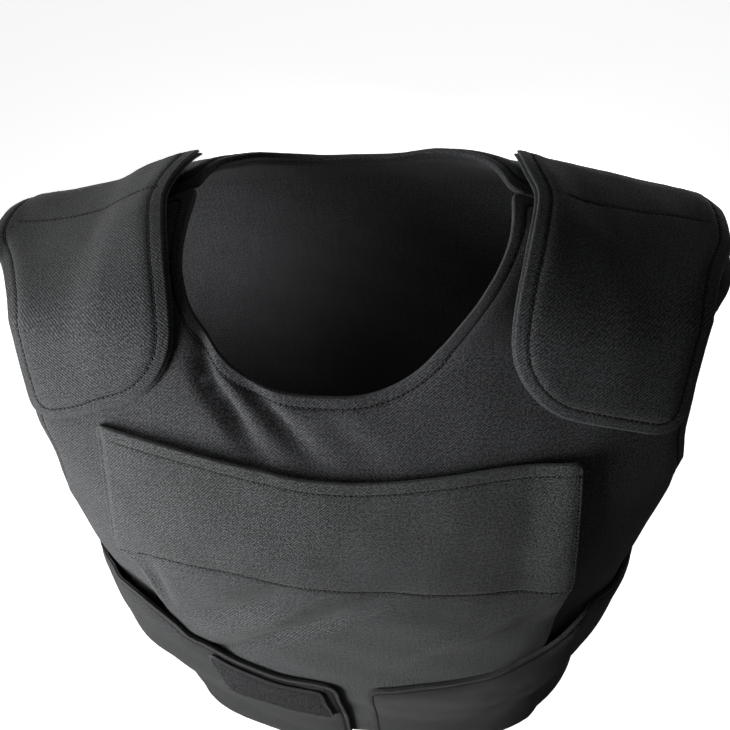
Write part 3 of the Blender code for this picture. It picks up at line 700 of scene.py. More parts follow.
class Finish:
    """One material. node() adds any node: its settings first, then the values or links of its inputs."""

    def __init__(self, name, roughness=0.85, specular=0.35, sheen=0.0):
        self.material = bpy.data.materials.new(name)
        self.material.use_nodes = True
        self.tree = self.material.node_tree
        self.shader = self.tree.nodes["Principled BSDF"]
        for key, value in {"Roughness": roughness, "Specular IOR Level": specular,
                           "Sheen Weight": sheen, "Sheen Roughness": 0.45}.items():
            self.shader.inputs[key].default_value = value

    def put(self, socket, value):
        """Link a wire to a socket, or set its constant."""
        if isinstance(value, Wire):
            self.tree.links.new(value.socket, socket)
        else:
            socket.default_value = value

    def node(self, kind, settings=None, inputs=None):
        made = self.tree.nodes.new(kind)
        for key, value in (settings or {}).items():
            setattr(made, key, value)
        for key, value in (inputs or {}).items():
            self.put(made.inputs[key], value)
        return [Wire(self, socket) for socket in made.outputs]

    def mix(self, factor, a, b):
        """Colour between a and b by the factor."""
        return self.node("ShaderNodeMix", {"data_type": "RGBA"}, {0: factor, 6: a, 7: b})[2]

    def noise(self, place, scale, detail=2.0, roughness=0.5):
        """Soft random value from 0 to 1 with so many waves per metre."""
        return self.node("ShaderNodeTexNoise", {}, {"Vector": place, "Scale": scale, "Detail": detail,
                                                    "Roughness": roughness})[0]

    def streaks(self, u, v, across, along):
        """Noise drawn out along one thread direction: wave numbers across and along the threads."""
        place = self.node("ShaderNodeCombineXYZ", {}, {0: u * across, 1: v * along})[0]
        return self.noise(place, 1.0, 1.0)

    def mark(self, name):
        """A distance that the piece carries as an attribute."""
        return self.node("ShaderNodeAttribute", {"attribute_name": name})[2]

    def show(self, socket, value):
        """Feed one input of the surface shader."""
        self.put(self.shader.inputs[socket], value)


# %% [markdown]
# The cloth is a 2/2 twill of thick polyester yarn: two over, two under, one step on at each row, which
# makes the fine diagonal rib. Warp and weft are two rows of rounded yarns, and a diagonal wave says
# which of the two lies on top.

# %% Twill
YARN = 0.00044
YARNS_IN_RIB = 4
LOW_WEFT = 0.34
# Waves per metre of what is uneven: the ribs' sway, fibres, wear, swelling, patches, lint and slubs.
SWAY_WAVES, FIBRE_WAVES, WORN_WAVES = 90.0, 900.0, 22.0
LUMP_WAVES, PATCH_WAVES, LINT_WAVES = 75.0, 260.0, 820.0
SLUB_ACROSS, SLUB_ALONG = 560.0, 34.0
SWAY = 1.6
# Shares of the base colour: painted shade deep in the weave, painted light on the ribs, where it is worn and
# where it is rubbed.
PAINTED_WEAVE_SHADE, PAINTED_RIB_LIGHT, WORN, RUBBED = 0.12, 3.0, 2.2, 2.6
LINT_COLOUR = (0.30, 0.31, 0.32)
SEAM_SHADE_REACH, RUB_REACH = 0.0008, 0.0016
WEAVE_RELIEF = 0.00040


def colour(value, share=1.0):
    """Colour with its alpha, each part times the share."""
    return (*[share * part for part in value], 1.0)


def twill(name, base):
    """Weave height = rib * (0.6 + 0.4 |sin(pi u / yarn)|) + (1 - rib) * low weft * |sin(pi v / yarn)|.

    The rib is a wave along u - v, 4 yarns long. The colour is the height times fibre, slub and patches: the
    height part is painted shade in the hollows and painted light on the ribs, the rest is the yarn's own
    tone.
    """
    f = Finish(name, roughness=0.85, specular=0.30, sheen=0.10)
    place = f.node("ShaderNodeUVMap", {"uv_map": "Pattern"})[0]
    u, v, _ = f.node("ShaderNodeSeparateXYZ", {}, {0: place})
    sway = f.noise(place, SWAY_WAVES, 2.0) * SWAY
    warp = (u * (np.pi / YARN)).sin().abs()
    weft = (v * (np.pi / YARN)).sin().abs()
    rib = ((u - v) * (2 * np.pi / (YARNS_IN_RIB * YARN)) + sway).sin() * 0.5 + 0.5
    height = rib * (0.60 + 0.40 * warp) + (1 - rib) * weft * LOW_WEFT
    fibre = f.noise(place, FIBRE_WAVES, 1.0)
    slub = f.streaks(u, v, SLUB_ACROSS, SLUB_ALONG) + f.streaks(u, v, SLUB_ALONG, SLUB_ACROSS)
    cloudy = f.noise(place, WORN_WAVES, 3.0, 0.55)
    lumps = f.noise(place, LUMP_WAVES, 1.0)
    patchy = f.noise(place, PATCH_WAVES, 2.0)
    specks = ((f.noise(place, LINT_WAVES, 0.0) - 0.80) * 16.0).clamp()
    # Colour up to 60% darker along each stitch line: painted shade in the stitch groove.
    sewn = f.mark("seam").bell(SEAM_SHADE_REACH)
    rubbed = (1 - f.mark("hem") / RUB_REACH).clamp() * (patchy * 1.4 - 0.2).clamp()
    worn = (cloudy * 3.0 - 1.35).clamp()
    grain = ((fibre - 0.5) * 6.0 + 1.0).clamp(0.10, 2.6)
    # Weave height in the colour: painted shade in the hollows and painted light on the ribs; fibre, slub and
    # patches are the yarn's own tone.
    shade = (0.06 + 1.12 * height) * grain * (0.30 + 0.70 * slub)
    shade = shade * (0.84 + 0.32 * patchy) * (1 - 0.60 * sewn) * 0.62
    cloth_colour = f.mix(shade.clamp(), colour(base, PAINTED_WEAVE_SHADE), colour(base, PAINTED_RIB_LIGHT))
    cloth_colour = f.mix(worn * 0.08, cloth_colour, colour(base, WORN))
    cloth_colour = f.mix(rubbed * 0.25, cloth_colour, colour(base, RUBBED))
    cloth_colour = f.mix(specks * 0.20, cloth_colour, colour(LINT_COLOUR))
    f.show("Base Color", cloth_colour)
    f.show("Roughness", (0.90 - 0.20 * height).clamp())
    uneven = height + 0.5 * fibre + 0.4 * patchy + 1.6 * lumps
    bump = f.node("ShaderNodeBump", {}, {"Strength": 0.6, "Distance": WEAVE_RELIEF, "Height": uneven})
    f.show("Normal", bump[0])
    return f.material


def thread_finish(name, base):
    """Sewing thread: base colour times 0.6 to 1.5 by a fine noise, and a faint gloss."""
    f = Finish(name, roughness=0.5, specular=0.25)
    place = f.node("ShaderNodeTexCoord")[3]
    ply = f.noise(place, 3200.0, 1.0)
    f.show("Base Color", f.mix(ply, colour(base, 0.6), colour(base, 1.5)))
    f.show("Roughness", 0.42 + 0.25 * ply)
    return f.material


# One cloth, four base colours: the pocket a little lighter and the flaps a little darker than the panel as
# painted light and shade, and the wings at about half the panel's colour as painted shade.
PANEL_TWILL = twill("panel_cloth", (0.0270, 0.0278, 0.0300))
POCKET_TWILL = twill("pocket_cloth", (0.0300, 0.0315, 0.0325))
WING_TWILL_PAINTED_SHADE = twill("wing_cloth_painted_shade", (0.0132, 0.0138, 0.0145))
FLAP_TWILL = twill("flap_cloth", (0.0255, 0.0268, 0.0285))
# Black thread; its colour is set well below the cloth's so each dash also stands for the painted shade of its
# stitch hole.
BLACK_THREAD = thread_finish("black_thread", (0.007, 0.007, 0.008))
print("materials", len(bpy.data.materials))

# %% [markdown]
# Every piece is finished at the sewing machine in the same order: the cloth is closed, then thread
# runs round its hem and along its cross seams. So one helper takes a piece's two faces and does both.

# %% Finishing and sewing a piece
def dress(piece, material):
    """Give a piece its material."""
    piece.data.materials.append(material)


def sew(name, surface, lines):
    """Black thread along the flat lines of a piece, each with its word whether it is closed."""
    dress(thread(name + "_stitches", surface, lines), BLACK_THREAD)


def padded_piece(name, border, outer, inner, hem, fill, material, slot, bars=(), **net):
    """Padded cloth for the node of that name; seam distance = least of |gap - hem| and each bar's gap."""
    def seam(flat):
        return np.minimum.reduce([np.abs(border(flat)[0] - hem), *[bar(flat)[0] for bar in bars]])

    lines = [bar.drawn for bar in bars]
    piece = cloth(name + "_cloth", border.drawn, outer, inner, seam=seam, lines=lines,
                  depths=hem_depths(hem), **net)
    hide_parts(name)
    dress(piece, material)
    sew(name, outer, [(inset(border.drawn, hem), True), *[(line, False) for line in lines]])

# %% [markdown]
# The carriers are two cloth shells with the armour inside, one for the chest and one for the back,
# each with two straps that meet on the shoulders. They are padded all over but squashed flat at
# the hem, where a row of stitches goes round the whole edge.

# %% Carrier outlines
PANEL_THICK = 0.009
PANEL_EDGE_THICK = 0.0035
PANEL_PILLOW = 0.013
CORNER_SOFT = 0.005
HEM_Z = -0.385
SIDE_Q = 0.975
# The wearer's left half of the neckline is rounder, the right half squarer and narrower.
NECK_HALF_WIDTHS = (0.096, 0.093)
NECK_FRONT_Y = -0.099
NECK_BACK_Y = 0.084
NECK_SQUARENESSES = (2.3, 3.1)
FRONT_TONGUE_Y = 0.018
BACK_TONGUE_Y = 0.0225
TONGUE_CORNER = 0.004
FRONT_ARMHOLE_TOP = (
    # y, left_x, right_x seen from above, from the shoulder ridge forwards (left is +X)
    (0.018, 0.2200, 0.2190),
    (-0.010, 0.2190, 0.2120),
    (-0.040, 0.2080, 0.1980),
    (-0.066, 0.1980, 0.1850),
)
FRONT_ARMHOLE_LOW = (
    # z, left_x, right_x seen from the front, from the chest down to the side edge
    (-0.060, 0.1950, 0.1865),
    (-0.080, 0.1965, 0.1810),
    (-0.105, 0.2010, 0.1815),
    (-0.125, 0.2010, 0.1880),
)
BACK_ARMHOLE_TOP = (
    # y, left_x, right_x, from the ridge backwards
    (0.0225, 0.2200, 0.2190),
    (0.038, 0.2180, 0.2180),
    (0.055, 0.2130, 0.2130),
)
BACK_ARMHOLE_LOW = (
    # z, left_x, right_x
    (-0.060, 0.2050, 0.2110),
    (-0.085, 0.2010, 0.2070),
    (-0.105, 0.1990, 0.2040),
    (-0.125, 0.1970, 0.2000),
)
ARMHOLE_BOTTOM_Z = -0.145
PANEL_HEM = 0.0057
PANEL_FILL = 0.7
PANEL_SPACING = 0.0044


def mirror(points):
    """The same run of points on the other side, in reverse order."""
    return (points * np.array([-1.0, 1.0]))[::-1]


def panel_half(facing, k):
    """Hem end, side edge, armhole, strap end and neckline; k picks the left or right column."""
    tongue = FRONT_TONGUE_Y if facing == FRONT else BACK_TONGUE_Y
    low = FRONT_ARMHOLE_LOW if facing == FRONT else BACK_ARMHOLE_LOW
    high = FRONT_ARMHOLE_TOP if facing == FRONT else BACK_ARMHOLE_TOP
    side = flat_from_qz(np.full(12, SIDE_Q), np.linspace(HEM_Z, ARMHOLE_BOTTOM_Z, 12), facing)
    z, x = column(low, 0)[::-1], column(low, k)[::-1]
    arm = flat_from_xz(x, z, facing)
    upper = flat_from_xy(column(high, k)[::-1], column(high, 0)[::-1], facing)
    arm_xs = np.vstack([side[-1:], arm, upper])
    t = np.concatenate([[0], np.cumsum(np.linalg.norm(np.diff(arm_xs, axis=0), axis=1))])
    at = np.linspace(0, t[-1], 60)
    arm_run = np.stack([smooth(at, t, arm_xs[:, k]) for k in range(2)], 1)
    half_width, squareness = NECK_HALF_WIDTHS[k - 1], NECK_SQUARENESSES[k - 1]
    end = flat_from_xy(np.linspace(high[0][k], half_width, 12), np.full(12, tongue), facing)
    turn = np.linspace(0.0, np.pi / 2, 60)
    depth = -NECK_FRONT_Y if facing == FRONT else NECK_BACK_Y
    nx = half_width * np.cos(turn) ** (2 / squareness)
    ny = -facing * depth * np.sin(turn) ** (2 / squareness)
    keep = facing * (ny - tongue) < -TONGUE_CORNER
    neck = flat_from_xy(nx[keep], ny[keep], facing)
    neck[-1, 0] = 0.0
    return np.vstack([side, arm_run[1:], end[1:], neck])


def panel_outline(facing):
    """Closed flat outline of the front or back carrier: the left half, then the mirrored right one."""
    halves = [panel_half(facing, 1), mirror(panel_half(facing, 2))[1:]]
    return soften(np.vstack(halves), CORNER_SOFT)


# %% Carriers
def carrier(name, facing, seed):
    """Height out = relief - thinning to the edge + hem; height in = relief - thickness + thinning."""
    border = Line(panel_outline(facing))

    def thin(flat):
        return 0.5 * (PANEL_THICK - PANEL_EDGE_THICK) * (1 - ease(border(flat)[0] / PANEL_PILLOW))

    def outer(flat):
        hem = turned_hem(*border(flat), seed, PANEL_HEM)
        return laid(flat, facing, relief(body_at(flat, facing)) - thin(flat) + hem)

    def inner(flat):
        return laid(flat, facing, relief(body_at(flat, facing)) - PANEL_THICK + thin(flat))

    padded_piece(name, border, outer, inner, PANEL_HEM, PANEL_FILL, PANEL_TWILL, "panel_twill",
                 spacing=PANEL_SPACING)


carrier("front_panel", FRONT, 0.4)
carrier("back_panel", BACK, 1.7)

# %% [markdown]
# The plate pocket is a doubled sheet sewn on at its sides. Its top edge is turned over and stands
# a little off the chest, which gives the thin dark line above it. A seam runs across the front,
# where a closing strip is taken to be sewn behind, and the cloth hangs a little looser below it.

# %% Plate pocket
POCKET_THICK = 0.0026
POCKET_GAP = 0.0015
POCKET_TOP = (
    # x, z of the open top edge
    (-0.1395, -0.0540),
    (-0.098, -0.0592),
    (-0.050, -0.0672),
    (-0.008, -0.0729),
    (0.010, -0.0733),
    (0.050, -0.0697),
    (0.095, -0.0642),
    (0.132, -0.0626),
)
POCKET_SIDE = (
    # z, x_at_minus_x_side, x_at_plus_x_side of the two sewn sides
    (-0.090, -0.1405, 0.1325),
    (-0.119, -0.1430, 0.1325),
    (-0.143, -0.1445, 0.1325),
    (-0.158, -0.1275, 0.1300),
    (-0.193, -0.1225, 0.1270),
    (-0.250, -0.1200, 0.1220),
    (-0.340, -0.1170, 0.1180),
)
POCKET_BOTTOM_Z = -0.365
POCKET_MOUTH_LIFT = 0.0020
POCKET_MOUTH_REACH = 0.024
POCKET_MOUTH_FULL = 1.15
POCKET_SIDE_LIFT = 0.0055
POCKET_SIDE_LIFT_X = (0.104, 0.130)
POCKET_SIDE_LIFT_Z = (-0.185, -0.135)
POCKET_CORNER_SOFT = 0.0025
POCKET_HEM = 0.0068
POCKET_SPACING = 0.0036
SIDE_SEAM = 0.0014
POCKET_SIDE_THIN = 0.0016
POCKET_SIDE_SINK = 0.0009
POCKET_SIDE_REACH = 0.007
BAND = (
    # x, z of the seam across the pocket
    (-0.145, -0.144),
    (-0.100, -0.135),
    (-0.064, -0.136),
    (-0.030, -0.141),
    (0.015, -0.142),
    (0.070, -0.144),
    (0.095, -0.145),
    (0.132, -0.151),
)
BAND_ENDS = (0.006, 0.002)
BAND_BLEND = 0.004
# How far the hem stands up, how soft its step is, and how loose the cloth hangs below the band.
HEM_STEP, HEM_STEP_SOFT = 0.0006, 0.0014
BELOW_BAND_LIFT, BELOW_BAND_BLEND, BELOW_BAND_FROM_SIDE = 0.0007, 3, 0.02
# Groove depths of the mouth hem, the side seams and the band.
MOUTH_GROOVE, SIDE_GROOVE, BAND_GROOVE = 0.0007, 0.0006, 0.0008


def pocket_runs():
    """Flat runs of the open top edge and of the two sewn sides."""
    xs = np.linspace(POCKET_TOP[0][0], POCKET_TOP[-1][0], 60)
    zs = read(POCKET_TOP, xs)
    top = flat_from_xz(xs, zs)

    def side(k, end):
        depth = np.concatenate([[-zs[end]], -column(POCKET_SIDE, 0)])
        across = np.concatenate([[xs[end]], column(POCKET_SIDE, k)])
        down = np.linspace(depth[0], -POCKET_BOTTOM_Z, 50)
        return flat_from_xz(smooth(down, depth, across), -down)
    return top, side(1, 0), side(2, -1)


def band_run():
    """Flat run of the seam across the pocket."""
    xs = np.linspace(BAND[0][0] + BAND_ENDS[0], BAND[-1][0] - BAND_ENDS[1], 60)
    return flat_from_xz(xs, read(BAND, xs))


def pocket_under(flat):
    """Height of the pocket's underside: lifted at the open mouth and on the wearer's left side."""
    q, z = qz_from_flat(flat, FRONT)
    base = on_ring(q, z, FRONT)
    x, first, last = base[:, 0], POCKET_TOP[0][0], POCKET_TOP[-1][0]
    top_z = read(POCKET_TOP, np.clip(x, first, last))
    sewn = np.clip(POCKET_MOUTH_FULL - np.abs(x / first) ** 4, 0, 1)
    mouth = POCKET_MOUTH_LIFT * sewn * np.exp(-np.maximum(top_z - z, 0.0) / POCKET_MOUTH_REACH)
    side = POCKET_SIDE_LIFT * between(x, POCKET_SIDE_LIFT_X) * between(z, POCKET_SIDE_LIFT_Z)
    return POCKET_GAP + folds(base) + mouth + side


def plate_pocket():
    """Height out = underside + thickness + hem step + seams + looseness below the band - thinned side."""
    top, left, right = pocket_runs()
    outline = soften(np.vstack([top, right[1:], left[::-1][:-1]]), POCKET_CORNER_SOFT)
    edge, mouth, band = Line(outline), Line(top, False), Line(band_run(), False)
    sides = Line(left, False), Line(right, False)
    band_u, band_v = band.path.T

    def parts(flat):
        over = np.clip((flat[:, 1] - np.interp(flat[:, 0], band_u, band_v)) / BAND_BLEND, -1, 1)
        side = np.minimum(sides[0](flat)[0], sides[1](flat)[0])
        return side, over

    def pulled(flat):
        return 1 - ease(sides[0](flat)[0] / POCKET_SIDE_REACH)

    def under(flat):
        return pocket_under(flat) + swell(body_at(flat, FRONT)) - POCKET_SIDE_SINK * pulled(flat)

    def outer(flat):
        up, along = mouth(flat)
        side, over = parts(flat)
        height = under(flat) + POCKET_THICK - POCKET_SIDE_THIN * pulled(flat)
        height += HEM_STEP * ease((POCKET_HEM + HEM_STEP - up) / HEM_STEP_SOFT)
        height += sewn_line(np.abs(up - POCKET_HEM), along, 0.9, MOUTH_GROOVE)
        height += sewn_line(np.abs(side - SIDE_SEAM), flat[:, 1], 2.9, SIDE_GROOVE) * (over > 0)
        height += sewn_line(*band(flat), 3.3, BAND_GROOVE)
        height += BELOW_BAND_LIFT * ease(-over / BELOW_BAND_BLEND) * ease(side / BELOW_BAND_FROM_SIDE)
        return laid(flat, FRONT, height)

    def inner(flat):
        return laid(flat, FRONT, under(flat))

    def seam(flat):
        side, over = parts(flat)
        sewn = np.minimum(np.abs(mouth(flat)[0] - POCKET_HEM), band(flat)[0])
        return np.minimum(sewn, np.where(over > 0, np.abs(side - SIDE_SEAM), 1.0))

    hem = top[2:-2] - np.array([0.0, POCKET_HEM])
    lines = [hem, band.path]
    for run, push in ((left, SIDE_SEAM), (right, -SIDE_SEAM)):
        moved = run + np.array([push, 0.0])
        floor = np.interp(moved[:, 0], band_u, band_v)
        lines.append(moved[(moved[:, 1] > floor) & (moved[:, 1] < run[0, 1] - POCKET_HEM)])
    piece = cloth("front_pocket_cloth", outline, outer, inner, seam=seam, spacing=POCKET_SPACING,
                  lines=[band.path], depths=hem_depths(POCKET_HEM))
    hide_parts("front_pocket")
    dress(piece, POCKET_TWILL)
    sew("front_pocket", outer, [(line, False) for line in lines])


plate_pocket()

# %% [markdown]
# Two padded wings come round from the back and end beside each other on the belly. Each is two
# layers sewn together at the edge, so the edge shows two lips with a slit between them.

# %% Waist wings
WING_THICK = 0.0040
WING_EDGE_THICK = 0.0024
WING_GAP = 0.0012
WING_FRONT_GAP = 0.0054
WING_HEM = 0.0028
WING_HEM_LIFT = 0.0001
WING_FILL = 0.4
WING_SPACING = 0.0046
WING_PILLOW = 0.012
WING_CORNER_SOFT = 0.006
WING_STEP_Q = 0.575
WING_STEP_WIDTH = 0.075
WING_END_X = 0.010
WING_BACK_Q = 1.50
WING_BOTTOM_Z = -0.380
WING_MIDDLE_Z = -0.300
WING_TOP_LEFT = (
    # q round the body from the front centre, z of the top edge on the wearer's left
    (0.03, -0.2545),
    (0.28, -0.2443),
    (0.365, -0.2390),
    (0.445, -0.2293),
    (0.510, -0.2215),
    (0.54, -0.2138),
    (0.60, -0.1940),
    (0.68, -0.1990),
    (0.85, -0.2060),
    (1.10, -0.2080),
    (1.50, -0.1980),
)
WING_TOP_RIGHT = (
    # q, z on the wearer's right
    (0.03, -0.2545),
    (0.15, -0.2490),
    (0.31, -0.2310),
    (0.371, -0.2211),
    (0.42, -0.2127),
    (0.48, -0.1957),
    (0.525, -0.1815),
    (0.58, -0.1780),
    (0.68, -0.1880),
    (0.85, -0.2010),
    (1.10, -0.2070),
    (1.50, -0.1980),
)

WING_BULGE = (
    # q, z, half_q, half_z, height
    (-0.64, -0.238, 0.14, 0.032, 0.0055),
)


def wing_outline(side):
    """Front end, top edge, back end and bottom edge of one wing in flat front coordinates."""
    table = WING_TOP_LEFT if side == LEFT else WING_TOP_RIGHT
    q0 = q_from_x(np.array([WING_END_X]), np.array([WING_MIDDLE_Z]))[0]
    q = np.linspace(q0, WING_BACK_Q, 90)
    top = flat_from_qz(q, read(table, q), FRONT)
    low = flat_from_qz(q, np.full(90, WING_BOTTOM_Z), FRONT)
    whole = np.vstack([top, low[::-1]])
    return soften(whole * np.array([side, 1.0]), WING_CORNER_SOFT)


def wing_under(flat):
    """Height of a wing's underside: over the pocket in front, close to the back panel behind."""
    q, z = qz_from_flat(flat, FRONT)
    back = ease((np.abs(q) - WING_STEP_Q) / WING_STEP_WIDTH)
    base = on_ring(q, z, FRONT)
    bulge = sum(h * np.exp(-((q - q0) / dq) ** 2 - ((z - z0) / dz) ** 2)
                for q0, z0, dq, dz, h in WING_BULGE)
    return WING_FRONT_GAP * (1 - back) + WING_GAP * back + bulge + np.maximum(folds(base), 0.0)


def wing_outer(flat, gap):
    """Height of a wing's outer face: thin at the edge, full past the pillow width."""
    return wing_under(flat) + WING_EDGE_THICK + (WING_THICK - WING_EDGE_THICK) * ease(gap / WING_PILLOW)


def wing_place(flat, height):
    """Wings are drawn round the body from the front; the slow swell lifts them as it lifts the panels."""
    return laid(flat, FRONT, height + swell(body_at(flat, FRONT)))


def waist_wing(name, side, seed):
    """Height out = underside + padding + hem, each wing with its own seed for the gathers."""
    border = Line(wing_outline(side))

    def outer(flat):
        gap, along = border(flat)
        return wing_place(flat, wing_outer(flat, gap) + turned_hem(gap, along, seed, WING_HEM, WING_HEM_LIFT))

    def inner(flat):
        return wing_place(flat, wing_under(flat))

    padded_piece(name, border, outer, inner, WING_HEM, WING_FILL, WING_TWILL_PAINTED_SHADE, "wing_twill",
                 edge=TWO_LAYERS, spacing=WING_SPACING)


waist_wing("waist_wing_left", LEFT, 0.8)
waist_wing("waist_wing_right", RIGHT, 2.6)

# %% [markdown]
# The loop patch is the soft half of a hook-and-loop closure: a thin backing full of small thread
# loops. A noise bump would look like felt, so over a thousand loops stand there as real arches.

# %% Loop patch
PATCH_THICK = 0.0018
PATCH_GAP = 0.0008
PATCH_X = (-0.090, -0.020)
PATCH_DROP = 0.0055
PATCH_HEIGHT = 0.055
PATCH_MIDDLE_Z = -0.240
LOOP_PITCH = 0.00155
LOOP_HEIGHT = 0.0014
LOOP_THREAD = 0.00014
LOOP_WIDTHS, LOOP_SHARES, LOOP_SHIFT, LOOP_EDGE = (0.0006, 0.0011), (0.5, 1.0), 0.0005, 0.0008
LOOP_BEND, LOOP_CORNERS, LOOP_ROOT = 6, 3, 0.0001
PATCH_SINK, PATCH_SEAM, PATCH_GROOVE, PATCH_SPACING = 0.0004, 0.0025, 0.0005, 0.0030


def arches(surface, places, rng):
    """Small tubes bent in a half circle, each turned at random, standing on the surface."""
    turn = rng.uniform(0, np.pi, len(places))
    wide = rng.uniform(*LOOP_WIDTHS, len(places))
    tall = rng.uniform(*LOOP_SHARES, len(places)) * LOOP_HEIGHT
    p = surface(places)
    a = unit(surface(places + np.array([SMALL_STEP, 0.0])) - p)
    n = normals(p)
    b = np.cross(n, a)
    t = a * np.cos(turn)[:, None] + b * np.sin(turn)[:, None]
    s = np.cross(n, t)
    bend = np.linspace(0, np.pi, LOOP_BEND)
    ring = np.linspace(0, 2 * np.pi, LOOP_CORNERS, endpoint=False)
    go, lift = np.cos(bend), np.sin(bend)
    middle = (p[:, None] + t[:, None] * (go * wide[:, None])[..., None]
              + n[:, None] * (lift * tall[:, None] - LOOP_ROOT)[..., None])
    fat_out = t[:, None] * go[:, None] + n[:, None] * lift[:, None]
    round_it = fat_out[:, :, None] * np.cos(ring)[:, None] + s[:, None, None] * np.sin(ring)[:, None]
    rods = middle[:, :, None] + LOOP_THREAD * round_it
    return rods.reshape(-1, 3), rod_faces(len(p), LOOP_BEND, LOOP_CORNERS)


def loop_patch():
    """A backing that lies on the right wing's outer face, and the loops standing on it."""
    wing = Line(wing_outline(RIGHT))
    xs = np.linspace(PATCH_X[0], PATCH_X[1], 30)
    q = -q_from_x(xs, np.full(30, PATCH_MIDDLE_Z))
    z = read(WING_TOP_RIGHT, q) - PATCH_DROP
    top, low = flat_from_qz(-q, z, FRONT), flat_from_qz(-q, z - PATCH_HEIGHT, FRONT)
    outline = soften(np.vstack([top, low[::-1]]), POCKET_CORNER_SOFT)
    edge = Line(outline)

    def under(flat):
        return wing_outer(flat, wing(flat)[0]) + PATCH_GAP

    def outer(flat):
        gap, along = edge(flat)
        seam = sewn_line(np.abs(gap - PATCH_SEAM), along, 1.1, PATCH_GROOVE)
        return wing_place(flat, under(flat) + PATCH_THICK - PATCH_SINK + seam)

    def inner(flat):
        return wing_place(flat, under(flat))

    piece = cloth("loop_patch_backing", outline, outer, inner, spacing=PATCH_SPACING,
                  depths=hem_depths(WING_HEM)[:7])
    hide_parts("loop_patch")
    rng = np.random.default_rng(12)
    lo, hi = outline.min(0), outline.max(0)
    gx, gy = np.meshgrid(np.arange(lo[0], hi[0], LOOP_PITCH), np.arange(lo[1], hi[1], LOOP_PITCH))
    places = np.stack([gx.ravel(), gy.ravel()], 1)
    places += rng.uniform(-LOOP_SHIFT, LOOP_SHIFT, places.shape)
    gap, _ = near(places, outline)
    places = places[inside(places, outline) & (gap > LOOP_EDGE)]
    pile = make_mesh("loop_patch_pile", *arches(outer, places, rng))
    dress(piece, PILE)
    dress(pile, PILE)


def pile_finish():
    """Nylon loops: near black, with paler tips where the thread catches light."""
    f = Finish("loop_pile_black", roughness=0.62, specular=0.35, sheen=0.1)
    place = f.node("ShaderNodeTexCoord")[3]
    tuft = f.noise(place, 700.0, 2.0)
    f.show("Base Color", f.mix(tuft, colour((0.010, 0.010, 0.011)), colour((0.034, 0.035, 0.038))))
    f.show("Roughness", 0.5 + 0.3 * tuft)
    return f.material


PILE = pile_finish()
loop_patch()

# %% [markdown]
# A padded flap is sewn to the back panel at each shoulder and laid forward over the strap. It
# follows the strap over the ridge, so its pattern is measured along the strap: x across, s along,
# s zero on the ridge. Its two layers show at the edge, and a cross seam holds the closing strip.

# %% Shoulder flaps
FLAP_THICK = 0.0075
FLAP_EDGE_THICK = 0.0040
FLAP_THIN_UNDER = 0.25
FLAP_GAP = 0.0014
FLAP_ARCH = 0.0048
FLAP_ARCH_S = -0.010
FLAP_ARCH_REACH = 0.055
FLAP_ARCH_X = (0.105, 0.175)
FLAP_PILLOW = 0.012
FLAP_HEM = 0.0062
FLAP_FILL = 0.6
FLAP_SPACING = 0.0034
FLAP_CORNER_SOFT = 0.004
FLAP_FRONT = 0.126
FLAP_BACK = 0.052
FLAP_SIDES_LEFT = (
    # s along the strap from the ridge (back is plus), inner_x, outer_x
    (0.052, 0.095, 0.212),
    (0.020, 0.100, 0.217),
    (0.000, 0.105, 0.216),
    (-0.030, 0.102, 0.205),
    (-0.060, 0.098, 0.197),
    (-0.090, 0.095, 0.191),
    (-0.126, 0.0945, 0.186),
)
FLAP_SIDES_RIGHT = (
    # s, inner_x, outer_x; this one lies a little nearer the neck
    (0.052, 0.096, 0.214),
    (0.020, 0.100, 0.219),
    (0.000, 0.103, 0.218),
    (-0.030, 0.098, 0.203),
    (-0.060, 0.092, 0.190),
    (-0.090, 0.0885, 0.184),
    (-0.126, 0.088, 0.179),
)
FLAP_INNER_CORNER = 0.034
FLAP_OUTER_CORNER = 0.018
CHART_X = np.linspace(0.070, 0.2200, 90)
CHART_S = np.linspace(-0.150, 0.090, 241)
CHART_DROP, CHART_STEPS = 0.160, 600
CROSS_SEAM = (0.002, 0.010)
CROSS_SEAM_FROM_NECK, CROSS_SEAM_FROM_ARM = 0.018, 0.012


def flap_chart():
    """Body y and z on a grid of x and s, s being arc length over the shoulder ridge."""
    drop = np.linspace(-1, 1, 2 * CHART_STEPS + 1)
    fine = np.linspace(SECTIONS[4][0], HIGHEST_Z, 800)
    ridge = np.interp(CHART_X, section(fine)[0][::-1], fine[::-1])
    ys, zs = [], []
    for x, top in zip(CHART_X, ridge):
        z = top - CHART_DROP * np.abs(drop) ** SQUARENESS
        a, b, c = section(z)
        out = 1 - np.minimum(x / a, 1) ** SQUARENESS
        y = c + np.sign(drop) * b * out ** (1 / SQUARENESS)
        s = np.concatenate([[0.0], np.cumsum(np.hypot(np.diff(y), np.diff(z)))])
        s -= s[CHART_STEPS]
        ys.append(np.interp(CHART_S, s, y))
        zs.append(np.interp(CHART_S, s, z))
    return np.array(ys), np.array(zs)


CHART_Y, CHART_Z = flap_chart()


def on_flap(flat, side):
    """Body points of flap flat places (x without its side, s)."""
    i = np.clip((flat[:, 0] - CHART_X[0]) / (CHART_X[1] - CHART_X[0]), 0, len(CHART_X) - 1.001)
    j = np.clip((flat[:, 1] - CHART_S[0]) / (CHART_S[1] - CHART_S[0]), 0, len(CHART_S) - 1.001)
    i0, j0 = i.astype(int), j.astype(int)
    fi, fj = i - i0, j - j0

    def mix(grid):
        return ((grid[i0, j0] * (1 - fj) + grid[i0, j0 + 1] * fj) * (1 - fi)
                + (grid[i0 + 1, j0] * (1 - fj) + grid[i0 + 1, j0 + 1] * fj) * fi)
    return np.stack([side * flat[:, 0], mix(CHART_Y), mix(CHART_Z)], 1)


